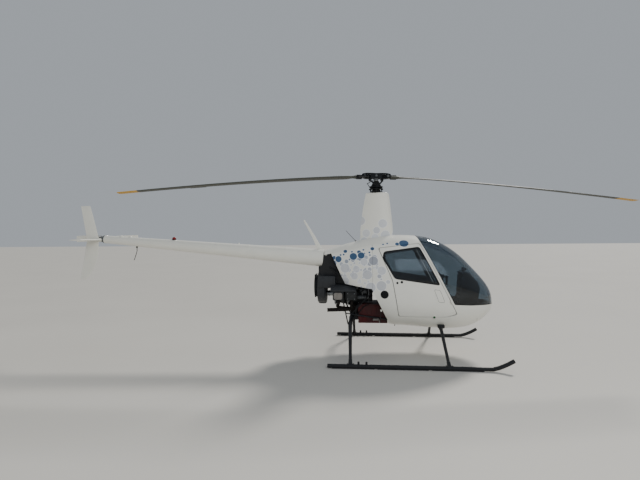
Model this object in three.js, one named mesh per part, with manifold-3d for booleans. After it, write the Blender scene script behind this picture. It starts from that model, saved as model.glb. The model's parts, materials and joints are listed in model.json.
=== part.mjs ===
// Two-seat light helicopter parked on its skids, in millimetres.
// +X points to the nose, +Y to the left side and +Z up; z = 0 is the ground under the skids.
// Stations are measured from the rotor mast, and MAST_X puts the whole craft centred on the origin.
import * as THREE from 'three';
import { mergeVertices } from 'three/addons/utils/BufferGeometryUtils.js';
import Module from 'manifold-3d';

const wasm = await Module();
wasm.setup();

// Driving dimensions
const MAST_X = 555;
const SEAT_GAP = 0.3;
const WALL = 22;
const GLASS = 5;
const DOOR_SKIN = 10;
const DOOR_DEPTH = 26;
const DOOR_GAP = 7.5;
const HINGE = { y: 552, knuckle: 6, length: 24, heights: [800, 1150] };
const TRIM_CLEARANCE = 34;

const ROTOR_RADIUS = 3835;
const ROTOR_CHORD = 183;
const ROTOR_PARK_DEG = 6;
const ROTOR_TILT_DEG = 1.3;
const TEETER_Z = 2598;
const BLADE_DROOP = 290;

const TAIL_ROTOR = { x: -4394, y: 235, z: 1700, radius: 533, chord: 102, parkDeg: 2 };

const SKID = { y: 965, radius: 26, shoe: 5, tailX: -660, bendX: 1437, tipX: 1676, tipZ: 140 };
const FRONT_TUBE = { x: 856, footX: 881, z: 430, elbowY: 470, radius: 23, legRadius: 19 };
const REAR_TUBE = { x: -375, footX: -366, z: 525, elbowY: 690, radius: 27, legRadius: 19 };

const BOOM = { frontX: -790, frontZ: 1378, frontR: 132, rearX: -4280, rearZ: 1688, rearR: 60, wall: 6 };
const FIN_Y = -64;

// Hull sections from nose to tail
// columns: x, half width, widest z, top z, bottom z, fullness of the curve
const HULL = [
  [1637, 0, 750, 750, 750, 2.0],
  [1615, 150, 768, 895, 625, 2.0],
  [1565, 245, 795, 997, 562, 2.1],
  [1475, 335, 830, 1115, 488, 2.2],
  [1340, 415, 865, 1262, 415, 2.3],
  [1180, 480, 895, 1422, 380, 2.45],
  [1000, 525, 920, 1556, 370, 2.6],
  [800, 550, 940, 1656, 378, 2.7],
  [600, 560, 955, 1700, 393, 2.75],
  [380, 560, 970, 1717, 410, 2.75],
  [150, 545, 990, 1711, 432, 2.7],
  [-80, 490, 1040, 1679, 560, 2.6],
  [-280, 410, 1110, 1635, 760, 2.5],
  [-480, 305, 1190, 1585, 930, 2.4],
  [-660, 205, 1290, 1528, 1110, 2.3],
  [-775, 146, 1368, 1500, 1236, 2.0],
];
const NOSE_ROWS = 8;
const HULL_SIDES = 26;

// Side outlines as x, z pairs
const WINDSHIELD = [[523, 1766], [1038, 764], [1258, 747], [1547, 739], [1720, 739], [1720, 1766]];
const DOOR = [[1100, 585], [284, 585], [245, 829], [200, 1088], [10, 1538], [583, 1603]];
// The lower front corner is cut back, since the leaf dips there as it turns about its raked hinge line
const DOOR_OPENING = [[1082, 620], [960, 585], ...DOOR.slice(1)];
const DOOR_LEAF = [[1079, 627], [930, 585], ...DOOR.slice(1)];
const DOOR_WINDOW = [[838, 1030], [234, 1119], [75, 1401], [92, 1484], [574, 1548]];
const ENGINE_BAY = [
  [165, 300], [137, 526], [-78, 968], [-458, 1019], [-668, 1456], [-900, 1456], [-900, 300],
];
const ROOF = [
  [700, 1672], [560, 1648], [250, 1620], [-60, 1592], [-300, 1536], [-668, 1456], [-900, 1400],
  [-900, 1900], [700, 1900],
];
const FIREWALL = [
  [171, 380], [143, 526], [-72, 968], [-72, 1750], [-60, 1750], [-60, 972], [155, 530], [183, 380],
];
const COWL_SEAM_X = -66;
const BOW_HALF = 14;
const BOW_DEPTH = 14;

function paint(color, roughness, metalness) {
  return new THREE.MeshStandardMaterial({ color, roughness, metalness });
}
const WHITE = () => paint(0xe9e9e4, 0.35, 0);
const BLACK = () => paint(0x16171a, 0.5, 0.2);
const STEEL = () => paint(0x8d9196, 0.4, 0.9);
const DARK_STEEL = () => paint(0x3a3c40, 0.5, 0.7);
const TINTED_GLASS = () => {
  const glass = paint(0x9db4c4, 0.05, 0);
  glass.transparent = true;
  glass.opacity = 0.4;
  return glass;
};

const point = (x, y, z) => new THREE.Vector3(x, y, z);
const craft = new THREE.Group();
craft.position.x = MAST_X;

// Solids
function toSolid(geometry) {
  const bare = new THREE.BufferGeometry();
  bare.setAttribute('position', geometry.getAttribute('position'));
  bare.setIndex(geometry.getIndex());
  const merged = mergeVertices(bare, 1e-3);
  return new wasm.Manifold(new wasm.Mesh({
    numProp: 3,
    vertProperties: Float32Array.from(merged.getAttribute('position').array),
    triVerts: Uint32Array.from(merged.getIndex().array),
  }));
}

// Slivers thinner than the tolerance are removed on the way out
const SLIVER = 0.05;
function toGeometry(solid) {
  const mesh = solid.simplify(SLIVER).getMesh();
  const geometry = new THREE.BufferGeometry();
  geometry.setAttribute('position', new THREE.BufferAttribute(mesh.vertProperties, 3));
  geometry.setIndex(new THREE.BufferAttribute(mesh.triVerts, 1));
  geometry.computeVertexNormals();
  return geometry;
}

function addPiece(name, solid, material, parent = craft) {
  const mesh = new THREE.Mesh(toGeometry(solid), material);
  mesh.name = name;
  parent.add(mesh);
  return mesh;
}

const joined = (solids) => solids.reduce((whole, solid) => whole.add(solid));
const without = (solid, cuts) => cuts.reduce((rest, cut) => rest.subtract(cut), solid);
const mirrored = (solid) => solid.mirror([0, 1, 0]);

function signedVolume(positions, index) {
  let volume = 0;
  for (let i = 0; i < index.length; i += 3) {
    const [a, b, c] = [0, 1, 2].map((k) => point(...positions.slice(3 * index[i + k], 3 * index[i + k] + 3)));
    volume += a.dot(b.cross(c));
  }
  return volume;
}

// A closed solid through rings of points, with a fan over each end
function loft(rings) {
  const sides = rings[0].length;
  const positions = rings.flat().flatMap((p) => [p.x, p.y, p.z]);
  const index = [];
  for (let r = 0; r + 1 < rings.length; r += 1) {
    for (let s = 0; s < sides; s += 1) {
      const a = r * sides + s;
      const b = r * sides + (s + 1) % sides;
      index.push(a, b, b + sides, a, b + sides, a + sides);
    }
  }
  [0, rings.length - 1].forEach((r) => {
    const centre = rings[r].reduce((sum, p) => sum.add(p), point(0, 0, 0)).divideScalar(sides);
    const hub = positions.length / 3;
    positions.push(centre.x, centre.y, centre.z);
    for (let s = 0; s < sides; s += 1) {
      const a = r * sides + s;
      const b = r * sides + (s + 1) % sides;
      index.push(...(r === 0 ? [b, a, hub] : [a, b, hub]));
    }
  });
  if (signedVolume(positions, index) < 0) {
    index.reverse();
  }
  const geometry = new THREE.BufferGeometry();
  geometry.setAttribute('position', new THREE.Float32BufferAttribute(positions, 3));
  geometry.setIndex(index);
  return toSolid(geometry);
}

function outlineShape(points, radius = 0) {
  const shape = new THREE.Shape();
  const at = points.map(([x, z]) => new THREE.Vector2(x, z));
  at.forEach((corner, i) => {
    const before = at[(i + at.length - 1) % at.length];
    const after = at[(i + 1) % at.length];
    const start = before.clone().sub(corner).setLength(radius).add(corner);
    const end = after.clone().sub(corner).setLength(radius).add(corner);
    if (i === 0) {
      shape.moveTo(start.x, start.y);
    } else {
      shape.lineTo(start.x, start.y);
    }
    if (radius > 0) {
      shape.quadraticCurveTo(corner.x, corner.y, end.x, end.y);
    }
  });
  shape.closePath();
  return shape;
}

// Moves every side of an outline outwards by a distance, which may be negative
function grow(points, distance) {
  const turn = points.reduce((sum, [x, z], i) => {
    const [nx, nz] = points[(i + 1) % points.length];
    return sum + x * nz - nx * z;
  }, 0);
  const side = Math.sign(turn) * distance;
  return points.map(([x, z], i) => {
    const [bx, bz] = points[(i + points.length - 1) % points.length];
    const [ax, az] = points[(i + 1) % points.length];
    const into = new THREE.Vector2(x - bx, z - bz).normalize();
    const out = new THREE.Vector2(ax - x, az - z).normalize();
    const scale = side / (1 + into.dot(out));
    return [x + (into.y + out.y) * scale, z - (into.x + out.x) * scale];
  });
}

// A slab with a side outline, from y0 to y1
function slab(points, y0, y1, radius = 0) {
  const flat = new THREE.ExtrudeGeometry(outlineShape(points, radius), {
    depth: y1 - y0, bevelEnabled: false, curveSegments: 4,
  });
  flat.rotateX(Math.PI / 2);
  flat.translate(0, y1, 0);
  return toSolid(flat);
}

function box(x0, x1, y0, y1, z0, z1) {
  const geometry = new THREE.BoxGeometry(x1 - x0, y1 - y0, z1 - z0);
  geometry.translate((x0 + x1) / 2, (y0 + y1) / 2, (z0 + z1) / 2);
  return toSolid(geometry);
}

// A round bar from one point to another, with its radius at each end
function rod(from, to, radius, endRadius = radius, sides = radius < 15 ? 6 : 10) {
  const geometry = new THREE.CylinderGeometry(endRadius, radius, from.distanceTo(to), sides);
  const direction = to.clone().sub(from).normalize();
  geometry.applyQuaternion(new THREE.Quaternion().setFromUnitVectors(point(0, 1, 0), direction));
  const middle = from.clone().add(to).divideScalar(2);
  geometry.translate(middle.x, middle.y, middle.z);
  return toSolid(geometry);
}

// A flat bar from one point to another, with its width along a third direction
function strap(from, to, along, width, thickness) {
  const geometry = new THREE.BoxGeometry(from.distanceTo(to), width, thickness);
  const reach = to.clone().sub(from).normalize();
  const normal = reach.clone().cross(along).normalize();
  geometry.applyMatrix4(new THREE.Matrix4().makeBasis(reach, normal.clone().cross(reach), normal));
  const middle = from.clone().add(to).divideScalar(2);
  geometry.translate(middle.x, middle.y, middle.z);
  return toSolid(geometry);
}

function ball(centre, radius) {
  const geometry = new THREE.SphereGeometry(radius, 6, 5);
  geometry.translate(centre.x, centre.y, centre.z);
  return toSolid(geometry);
}

// Bars through a list of points, with a ball over each corner
function bars(points, radius) {
  const runs = points.slice(1).map((p, i) => rod(points[i], p, radius));
  const corners = points.slice(1, -1).map((p) => ball(p, radius * 1.04));
  return joined([...runs, ...corners]);
}

// A turned solid about the mast axis from radius, height pairs
function turned(profile, sides = 24) {
  const lathe = new THREE.LatheGeometry(profile.map(([r, h]) => new THREE.Vector2(r, h)), sides);
  lathe.rotateX(Math.PI / 2);
  return toSolid(lathe);
}

// An aerofoil ring from its leading and trailing points and its half thickness
function foilRing(leading, trailing, halfThickness, count = 12) {
  const chord = trailing.clone().sub(leading);
  return Array.from({ length: count }, (_, i) => {
    const angle = (2 * Math.PI * i) / count;
    const along = (1 - Math.cos(angle)) / 2;
    const bulge = 2.6 * Math.sqrt(along) * (1.02 - along) * Math.sign(Math.sin(angle) + 1e-9);
    return leading.clone().addScaledVector(chord, along).addScaledVector(halfThickness, bulge);
  });
}

// Hull surface
function hullRow(s) {
  const i = Math.min(Math.floor(s), HULL.length - 2);
  const t = s - i;
  const row = (k) => HULL[Math.min(Math.max(k, 0), HULL.length - 1)];
  const [a, b, c, d] = [row(i - 1), row(i), row(i + 1), row(i + 2)];
  return b.map((value, k) => {
    const m0 = (c[k] - a[k]) / 2;
    const m1 = (d[k] - value) / 2;
    const rise = c[k] - value;
    return value + t * (m0 + t * (3 * rise - 2 * m0 - m1 + t * (m0 + m1 - 2 * rise)));
  });
}

// The hull as one solid, drawn in by an inset on every side
function hull(inset) {
  const rings = [];
  for (let s = 0.12; s < HULL.length - 0.5; s = s < 0.5 ? 0.5 : s + (s < NOSE_ROWS ? 0.5 : 1)) {
    const [x, halfWidth, midZ, topZ, bottomZ, fullness] = hullRow(s);
    const room = Math.max(halfWidth - inset, 4);
    const up = Math.max(topZ - midZ - inset, 4);
    const down = Math.max(midZ - bottomZ - inset, 4);
    const noseShift = inset * Math.exp(-s / 1.5);
    rings.push(Array.from({ length: HULL_SIDES }, (_, i) => {
      const angle = (2 * Math.PI * (i + 0.5)) / HULL_SIDES;
      const bend = (value) => Math.sign(value) * Math.abs(value) ** (2 / fullness);
      const lift = Math.sin(angle) > 0 ? up : down;
      return point(x - noseShift, room * bend(Math.cos(angle)), midZ + lift * bend(Math.sin(angle)));
    }));
  }
  return loft(rings);
}

// Half width of the hull at a station and height
function hullY(x, z) {
  let [low, high] = [0, HULL.length - 1];
  for (let i = 0; i < 30; i += 1) {
    const middle = (low + high) / 2;
    [low, high] = hullRow(middle)[0] > x ? [middle, high] : [low, middle];
  }
  const [, halfWidth, midZ, topZ, bottomZ, fullness] = hullRow(low);
  const reach = z > midZ ? topZ - midZ : midZ - bottomZ;
  return halfWidth * (1 - Math.abs((z - midZ) / reach) ** fullness) ** (1 / fullness);
}

const outerHull = hull(0);
const cabinRoom = hull(WALL);
const insideWall = hull(WALL + SEAT_GAP);
const insideDoor = hull(TRIM_CLEARANCE);
const shell = outerHull.subtract(cabinRoom);

const WIDE = 700;
const acrossHull = (outline, radius) => slab(outline, -WIDE, WIDE, radius);

// Cross tubes and skids
function tubePath({ x, footX, z, elbowY }) {
  return {
    middle: point(x, 0, z),
    elbow: point(x, elbowY, z),
    foot: point(footX, SKID.y, SKID.shoe + SKID.radius),
  };
}

function crossTube(spec, grown = 0) {
  const path = tubePath(spec);
  const half = joined([
    rod(path.middle.clone().setY(-1), path.elbow, spec.radius + grown),
    ball(path.elbow, (spec.radius + grown) * 1.02),
    rod(path.elbow, path.foot, spec.radius + grown, spec.legRadius + grown),
  ]);
  return half.add(mirrored(half));
}

function skidTube(grown = 0) {
  const z = SKID.shoe + SKID.radius;
  const radius = SKID.radius + grown;
  const curve = new THREE.CatmullRomCurve3([
    point(SKID.tailX, SKID.y, z),
    point(SKID.bendX - 160, SKID.y, z),
    point(SKID.bendX, SKID.y, z + 8),
    point(SKID.tipX, SKID.y, SKID.tipZ),
  ], false, 'centripetal');
  const section = new THREE.Shape();
  section.absarc(0, 0, radius, 0, 2 * Math.PI);
  return toSolid(new THREE.ExtrudeGeometry(section, {
    steps: 12, bevelEnabled: false, extrudePath: curve, curveSegments: 8,
  }));
}

function addLandingGear() {
  const skid = skidTube();
  const shoe = box(SKID.tailX + 40, SKID.bendX - 120, SKID.y - 18, SKID.y + 18, 0, SKID.shoe + 8);
  const lugs = [-261, -160].map((x) => box(x - 14, x + 14, SKID.y - 10, SKID.y + 10, SKID.radius, 92));
  const left = joined([skid, shoe, ...lugs]);
  addPiece('skid_left', left, BLACK());
  addPiece('skid_right', mirrored(left), BLACK());
  const saddleRoom = skidTube(SEAT_GAP);
  const cuts = [saddleRoom, mirrored(saddleRoom)];
  addPiece('front_cross_tube', without(crossTube(FRONT_TUBE), cuts), BLACK());
  addPiece('rear_cross_tube', without(crossTube(REAR_TUBE), cuts), BLACK());
}

// Door hinges stand just outside the skin on the seam in front of the door
const [DOOR_FOOT, DOOR_HEAD] = [DOOR[0], DOOR[DOOR.length - 1]];
const HINGE_RUN = point(DOOR_HEAD[0] - DOOR_FOOT[0], 0, DOOR_HEAD[1] - DOOR_FOOT[1]).normalize();
const HINGE_AFT = point(-HINGE_RUN.z, 0, HINGE_RUN.x);

function hingePin(height) {
  const rise = (height - DOOR_FOOT[1]) / HINGE_RUN.z;
  return point(DOOR_FOOT[0], HINGE.y, DOOR_FOOT[1]).addScaledVector(HINGE_RUN, rise)
    .addScaledVector(HINGE_AFT, DOOR_GAP / 2);
}

function hingeLeaves(from, reach) {
  return HINGE.heights.map((height) => {
    const start = hingePin(height).addScaledVector(HINGE_RUN, from);
    const end = start.clone().addScaledVector(HINGE_RUN, HINGE.length);
    const middle = start.clone().add(end).divideScalar(2);
    const foot = middle.clone().addScaledVector(HINGE_AFT, reach);
    foot.y = hullY(foot.x, foot.z) - 5;
    const leaf = strap(middle, foot, HINGE_RUN, HINGE.length, 5);
    return rod(start, end, HINGE.knuckle, HINGE.knuckle, 8).add(leaf);
  });
}

// Cabin skin, glass and doors
function addHullPanels() {
  const roofTool = acrossHull(ROOF);
  const windshieldTool = acrossHull(grow(WINDSHIELD, SEAT_GAP));
  const bayTool = acrossHull(ENGINE_BAY);
  const doorTool = acrossHull(DOOR_OPENING, 30);
  const ahead = box(COWL_SEAM_X, 2000, -WIDE, WIDE, 0, 2000);
  const tubeRoom = crossTube(FRONT_TUBE, SEAT_GAP);
  const skin = without(shell.intersect(ahead), [
    acrossHull(grow(ROOF, SEAT_GAP)), windshieldTool, bayTool, doorTool, tubeRoom,
  ]);
  const leaves = hingeLeaves(-HINGE.length - SEAT_GAP, -17);
  addPiece('cabin_shell', joined([skin, ...leaves, ...leaves.map(mirrored)]), WHITE());

  const mastHole = rod(point(0, 0, 1500), point(0, 0, 1900), 60);
  addPiece('roof_fairing', without(shell.intersect(roofTool), [windshieldTool, mastHole]), WHITE());

  const sides = [['cowl_left', 0, WIDE], ['cowl_right', -WIDE, 0]];
  sides.forEach(([name, y0, y1]) => {
    const behind = box(-760, COWL_SEAM_X - SEAT_GAP, y0, y1, 900, 1700);
    const cowl = without(shell.intersect(behind), [acrossHull(grow(ROOF, SEAT_GAP)), bayTool]);
    addPiece(name, cowl, WHITE());
  });

  const glassShell = outerHull.subtract(hull(GLASS)).intersect(acrossHull(WINDSHIELD));
  const pane = glassShell.intersect(box(0, 2000, BOW_HALF + SEAT_GAP, WIDE, 0, 2000));
  addPiece('windshield_left', pane, TINTED_GLASS());
  addPiece('windshield_right', mirrored(pane), TINTED_GLASS());
  const bow = outerHull.subtract(hull(BOW_DEPTH)).intersect(acrossHull(WINDSHIELD));
  addPiece('windshield_bow', bow.intersect(box(0, 2000, -BOW_HALF, BOW_HALF, 0, 2000)), BLACK());
}

// A door is a thin outer skin with a smaller inner frame, so that it swings out of its opening
function addDoors() {
  const skinRoom = hull(DOOR_SKIN);
  const leftSide = (outline, radius) => slab(outline, 0, WIDE, radius);
  const skin = outerHull.subtract(skinRoom).intersect(leftSide(grow(DOOR_LEAF, -DOOR_GAP), 36));
  const frameRun = leftSide(grow(DOOR_LEAF, -DOOR_GAP - 14), 30);
  const frame = hull(DOOR_SKIN - 0.5).subtract(hull(DOOR_DEPTH)).intersect(frameRun);
  const panel = skin.add(frame).subtract(leftSide(DOOR_WINDOW, 34));
  const left = joined([panel, ...hingeLeaves(0, 20)]);
  const pane = hull(DOOR_SKIN - 2).subtract(hull(DOOR_SKIN - 2 + GLASS));
  const glass = pane.intersect(leftSide(grow(DOOR_WINDOW, -SEAT_GAP), 34));
  addPiece('door_left', left, WHITE());
  addPiece('door_right', mirrored(left), WHITE());
  addPiece('door_glass_left', glass, TINTED_GLASS());
  addPiece('door_glass_right', mirrored(glass), TINTED_GLASS());
}

// Cabin inside
const FLOOR_Z = 490;
function addCabin() {
  const house = box(-72, 125, -130, 130, 1215, 1800);
  const houseRoom = box(-90, 113, -118, 118, 1227, 1800);
  const firewall = acrossHull(FIREWALL).add(house).subtract(houseRoom).intersect(insideWall);
  addPiece('firewall', firewall, paint(0x9c9e9f, 0.5, 0.6));
  const floor = box(178, 1460, -WIDE, WIDE, FLOOR_Z - 12, FLOOR_Z).intersect(insideWall);
  addPiece('cabin_floor', floor, paint(0x3b3c3f, 0.8, 0));
  const boxSide = [[215, FLOOR_Z + SEAT_GAP], [630, FLOOR_Z + SEAT_GAP], [655, 770], [180, 770]];
  addPiece('seat_base', slab(boxSide, -470, 470).intersect(insideDoor), paint(0xd8d8d2, 0.5, 0));
  const cushion = [[235, 770.3], [675, 770.3], [690, 845], [345, 835], [215, 1195], [105, 1185]];
  const seat = slab(cushion, 22, 452, 26).intersect(insideDoor);
  addPiece('seat_left', seat, paint(0x2c2e33, 0.8, 0));
  addPiece('seat_right', mirrored(seat), paint(0x2c2e33, 0.8, 0));
  const console = [[1150, FLOOR_Z + SEAT_GAP], [1390, FLOOR_Z + SEAT_GAP], [1432, 800], [1458, 930],
    [1436, 1012], [1290, 1168], [1228, 1177], [1202, 1140], [1182, 900]];
  addPiece('instrument_console', slab(console, -140, 140), paint(0x1d1e21, 0.6, 0));

  const underFloor = box(0, 2000, -WIDE, WIDE, 0, FLOOR_Z + SEAT_GAP);
  const stickTop = point(960, 0, 1105);
  const grips = [-1, 1].map((side) => rod(point(960, side * 330, 1135), point(955, side * 330, 1010), 17));
  addPiece('cyclic_stick', joined([
    rod(point(905, 0, FLOOR_Z - 20), stickTop, 16),
    rod(point(960, -345, 1105), point(960, 345, 1105), 12),
    ball(stickTop, 24),
    ...grips,
  ]).subtract(underFloor), BLACK());

  const pedals = (middleY) => joined([
    rod(point(1215, middleY - 100, 640), point(1215, middleY + 100, 640), 9),
    rod(point(1195, middleY, FLOOR_Z - 20), point(1215, middleY, 640), 13),
    ...[-1, 1].map((side) => box(1198, 1212, middleY + side * 75 - 30, middleY + side * 75 + 30, 600, 700)),
  ]).subtract(underFloor);
  addPiece('pedals_right', pedals(-255), DARK_STEEL());
  addPiece('pedals_left', pedals(255), DARK_STEEL());

  const lever = (y) => joined([
    rod(point(700, y, FLOOR_Z - 20), point(700, y, 640), 14),
    rod(point(690, y, 630), point(870, y, 750), 13),
    rod(point(795, y, 700), point(885, y, 760), 19),
  ]).subtract(underFloor);
  addPiece('collective_right', lever(-45), BLACK());
  addPiece('collective_left', lever(330), BLACK());
}

// Mast fairing, mast and gearbox
// columns: z, leading x, trailing x, width
const FAIRING = [
  [1560, 252, -272, 230],
  [1708, 245, -252, 220],
  [1900, 233, -226, 208],
  [2104, 212, -199, 190],
  [2290, 190, -162, 172],
  [2350, 168, -150, 150],
];
const GEARBOX = { r: 105, z0: 1330, z1: 1600 };
const MAST = { r: 42, bore: 33, top: 2398, shaft: 25 };

const gearboxBody = (grown) => rod(point(0, 0, GEARBOX.z0), point(0, 0, GEARBOX.z1), GEARBOX.r + grown,
  GEARBOX.r - 20 + grown, 16);

function addMast() {
  const rings = (inset) => FAIRING.map(([z, front, back, width], i) => foilRing(
    point(front - inset, 0, i === FAIRING.length - 1 ? z - inset : z),
    point(back + inset, 0, i === FAIRING.length - 1 ? z - inset : z),
    point(0, width / 2 - inset, 0), 16));
  const mast = rod(point(0, 0, GEARBOX.z1 + SEAT_GAP), point(0, 0, MAST.top), MAST.r, MAST.r, 20);
  const bore = rod(point(0, 0, 1500), point(0, 0, 2600), MAST.bore, MAST.bore, 20);
  const mastRoom = rod(point(0, 0, 1500), point(0, 0, 2600), MAST.r + SEAT_GAP, MAST.r + SEAT_GAP, 20);
  const innerBottom = box(-400, 400, -300, 300, 1500, 1575);
  const fairing = without(loft(rings(0)), [loft(rings(6)), innerBottom, mastRoom, hull(-SEAT_GAP)]);
  addPiece('mast_fairing', fairing, WHITE());
  addPiece('mast_tube', mast.subtract(bore), BLACK());
  addPiece('main_gearbox', gearboxBody(0), DARK_STEEL());
  const plate = turned([[34, MAST.top + 0.3], [92, MAST.top + 0.3], [96, MAST.top + 10], [92, MAST.top + 20],
    [34, MAST.top + 20], [34, MAST.top + 0.3]]);
  addPiece('swashplate', plate, DARK_STEEL());
}

// Engine bay
const CRANK_Z = 850;
const DRIVE_Z = 1372;
const ENGINE = { x0: -560, x1: -120, halfWidth: 165, z0: 720, z1: 1010 };
const CYLINDERS = { x: [-570, -385], stagger: 14, root: 150, reach: 385, fins: 4 };
const SHEAVE_R = 106;
function finnedCylinder(x, side) {
  const { root, reach, fins } = CYLINDERS;
  const pitch = (reach - root) / fins;
  const profile = [[0, root]];
  for (let i = 0; i < fins; i += 1) {
    profile.push([62, root + i * pitch], [78, root + (i + 0.35) * pitch], [62, root + (i + 0.7) * pitch]);
  }
  profile.push([70, reach], [0, reach]);
  const lathe = new THREE.LatheGeometry(profile.map(([r, h]) => new THREE.Vector2(r, h)), 10);
  if (side < 0) {
    lathe.rotateX(Math.PI);
  }
  lathe.translate(x, 0, CRANK_Z);
  return toSolid(lathe);
}

const engineBlock = (grown) => box(ENGINE.x0 - grown, ENGINE.x1 + grown, -ENGINE.halfWidth - grown,
  ENGINE.halfWidth + grown, ENGINE.z0 - grown, ENGINE.z1 + grown);

function addEngineBay() {
  const block = engineBlock(0);
  const cylinders = [-1, 1].flatMap((side) => CYLINDERS.x.map(
    (x) => finnedCylinder(x - side * CYLINDERS.stagger, side)));
  // The crankcase reaches back on both sides of the lower sheave to carry the rear cylinders
  const cheeks = [-1, 1].map((side) => box(-650, ENGINE.x0 + 20, side * 139 - 26, side * 139 + 26, 780, 920));
  addPiece('engine', joined([block, ...cheeks, ...cylinders]), paint(0x5c5e5f, 0.6, 0.6));

  const top = ENGINE.z0 - SEAT_GAP;
  const baffle = [[-275, 450], [144, 450], [135, 526], [41, top], [-275, top]];
  addPiece('lower_baffle', slab(baffle, -240, 240), paint(0x6f1d1c, 0.6, 0));

  const risers = [-1, 1].map((side) => rod(
    point(-335, side * 120, 640), point(-335, side * 120, ENGINE.z0 - SEAT_GAP), 22));
  const pipe = joined([
    rod(point(-335, -255, 655), point(-335, 245, 655), 48, 48, 14),
    bars([point(-335, -215, 655), point(-420, -300, 657), point(-712, -345, 652)], 27),
    ...risers,
  ]);
  addPiece('exhaust', pipe, paint(0x1b1a19, 0.8, 0.4));

  const lowerSheave = rod(point(ENGINE.x0 - SEAT_GAP, 0, CRANK_Z), point(-575, 0, CRANK_Z), 60)
    .add(rod(point(-572, 0, CRANK_Z), point(-655, 0, CRANK_Z), 88, 88, 20))
    .add(rod(point(-650, 0, CRANK_Z), point(-742, 0, CRANK_Z), 40));
  addPiece('lower_sheave', lowerSheave, STEEL());
  const clutchShaft = rod(point(-GEARBOX.r + 8 - SEAT_GAP, 0, DRIVE_Z), point(-1150, 0, DRIVE_Z + 32), 16)
    .add(rod(point(-572, 0, DRIVE_Z + 9), point(-655, 0, DRIVE_Z + 10), SHEAVE_R, SHEAVE_R, 20));
  addPiece('clutch_shaft', clutchShaft.subtract(gearboxBody(SEAT_GAP)), STEEL());
  addPiece('drive_belts', driveBelts(), paint(0x17181a, 0.85, 0));

  const drum = rod(point(-742.3, 0, 935), point(-885, 0, 935), 243, 235, 28);
  const throat = rod(point(-740, 0, 935), point(-775, 0, 935), 60);
  const ducts = [-1, 1].map((side) => box(-860, -600, side * 185 - 60, side * 185 + 60, 950, 1128));
  const inlet = rod(point(-880, 0, 960), point(-922, 0, 960), 150, 168, 24);
  addPiece('fan_scroll', joined([drum, ...ducts, inlet]).subtract(throat), paint(0x33353a, 0.6, 0.1));
}

// The belts run round both sheaves as one closed band
function driveBelts() {
  const band = (topR, lowR) => {
    const shape = new THREE.Shape();
    shape.absarc(0, DRIVE_Z + 10, topR, 0, Math.PI);
    shape.absarc(0, CRANK_Z, lowR, Math.PI, 2 * Math.PI);
    shape.closePath();
    return shape;
  };
  const outer = band(SHEAVE_R + 13, 101);
  outer.holes.push(band(SHEAVE_R + 0.4, 88.4));
  const belt = new THREE.ExtrudeGeometry(outer, { depth: 76, bevelEnabled: false, curveSegments: 12 });
  belt.rotateX(Math.PI / 2);
  belt.rotateZ(Math.PI / 2);
  belt.translate(-652, 0, 0);
  return toSolid(belt);
}

// Welded tube frame behind the firewall, which carries the engine and the tail boom
function engineFrame() {
  const ringX = BOOM.frontX + SEAT_GAP;
  const ends = (side) => ({
    lowFront: point(150, side * 262, 512),
    lowRear: point(-375, side * 262, 580),
    upFront: point(-50, side * 330, 925),
    midRear: point(-560, side * 190, 1150),
    topFront: point(-50, side * 215, 1470),
    shoulder: point(-665, side * 128, 1432),
    ringTop: point(ringX + 9, side * 62, BOOM.frontZ + 60),
    ringLow: point(ringX + 9, side * 62, BOOM.frontZ - 60),
    engineFoot: point(-465, side * 150, ENGINE.z0 + 30),
    gearboxSide: point(0, side * 40, 1465),
  });
  // columns: from, to, radius
  const members = [
    ['lowFront', 'lowRear', 11],
    ['upFront', 'lowRear', 8],
    ['lowRear', 'engineFoot', 10],
    ['upFront', 'midRear', 10],
    ['midRear', 'ringLow', 11],
    ['topFront', 'shoulder', 11],
    ['shoulder', 'ringTop', 11],
    ['topFront', 'midRear', 9],
    ['midRear', 'shoulder', 9],
    ['topFront', 'gearboxSide', 11],
  ];
  const halves = [-1, 1].flatMap((side) => {
    const at = ends(side);
    return [
      ...members.map(([from, to, radius]) => rod(at[from], at[to], radius, radius, 6)),
      ball(at.lowRear, 16),
      ball(at.midRear, 15),
      ball(at.shoulder, 15),
      rod(point(-375, side * 225, 585), point(-375, side * 225, REAR_TUBE.z), 12),
    ];
  });
  const ring = (radius, x0, x1) => rod(
    point(x0, 0, BOOM.frontZ), point(x1, 0, BOOM.frontZ), radius, radius, 20);
  const frame = joined([
    ...halves,
    rod(point(-375, -262, 580), point(-375, 262, 580), 12),
    ring(96, ringX, ringX + 18),
  ]);
  return without(frame, [
    ring(74, ringX - 5, ringX + 30),
    acrossHull(grow(FIREWALL, SEAT_GAP)),
    box(-60, 400, -WIDE, WIDE, 700, 1800),
    box(60, 400, -WIDE, WIDE, 550, 1800),
    engineBlock(SEAT_GAP),
    gearboxBody(SEAT_GAP),
    crossTube(REAR_TUBE, SEAT_GAP),
  ]);
}

// Tail
function boomAt(x) {
  const t = (x - BOOM.frontX) / (BOOM.rearX - BOOM.frontX);
  return {
    z: BOOM.frontZ + t * (BOOM.rearZ - BOOM.frontZ),
    radius: BOOM.frontR + t * (BOOM.rearR - BOOM.frontR),
  };
}

function boomSolid(inset, overrun = 0) {
  const rings = [BOOM.frontX + overrun, BOOM.rearX - overrun].map((x) => {
    const { z, radius } = boomAt(x);
    return Array.from({ length: 24 }, (_, i) => {
      const angle = (2 * Math.PI * i) / 24;
      return point(x, (radius - inset) * Math.cos(angle), z + (radius - inset) * Math.sin(angle));
    });
  });
  return loft(rings);
}

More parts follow.
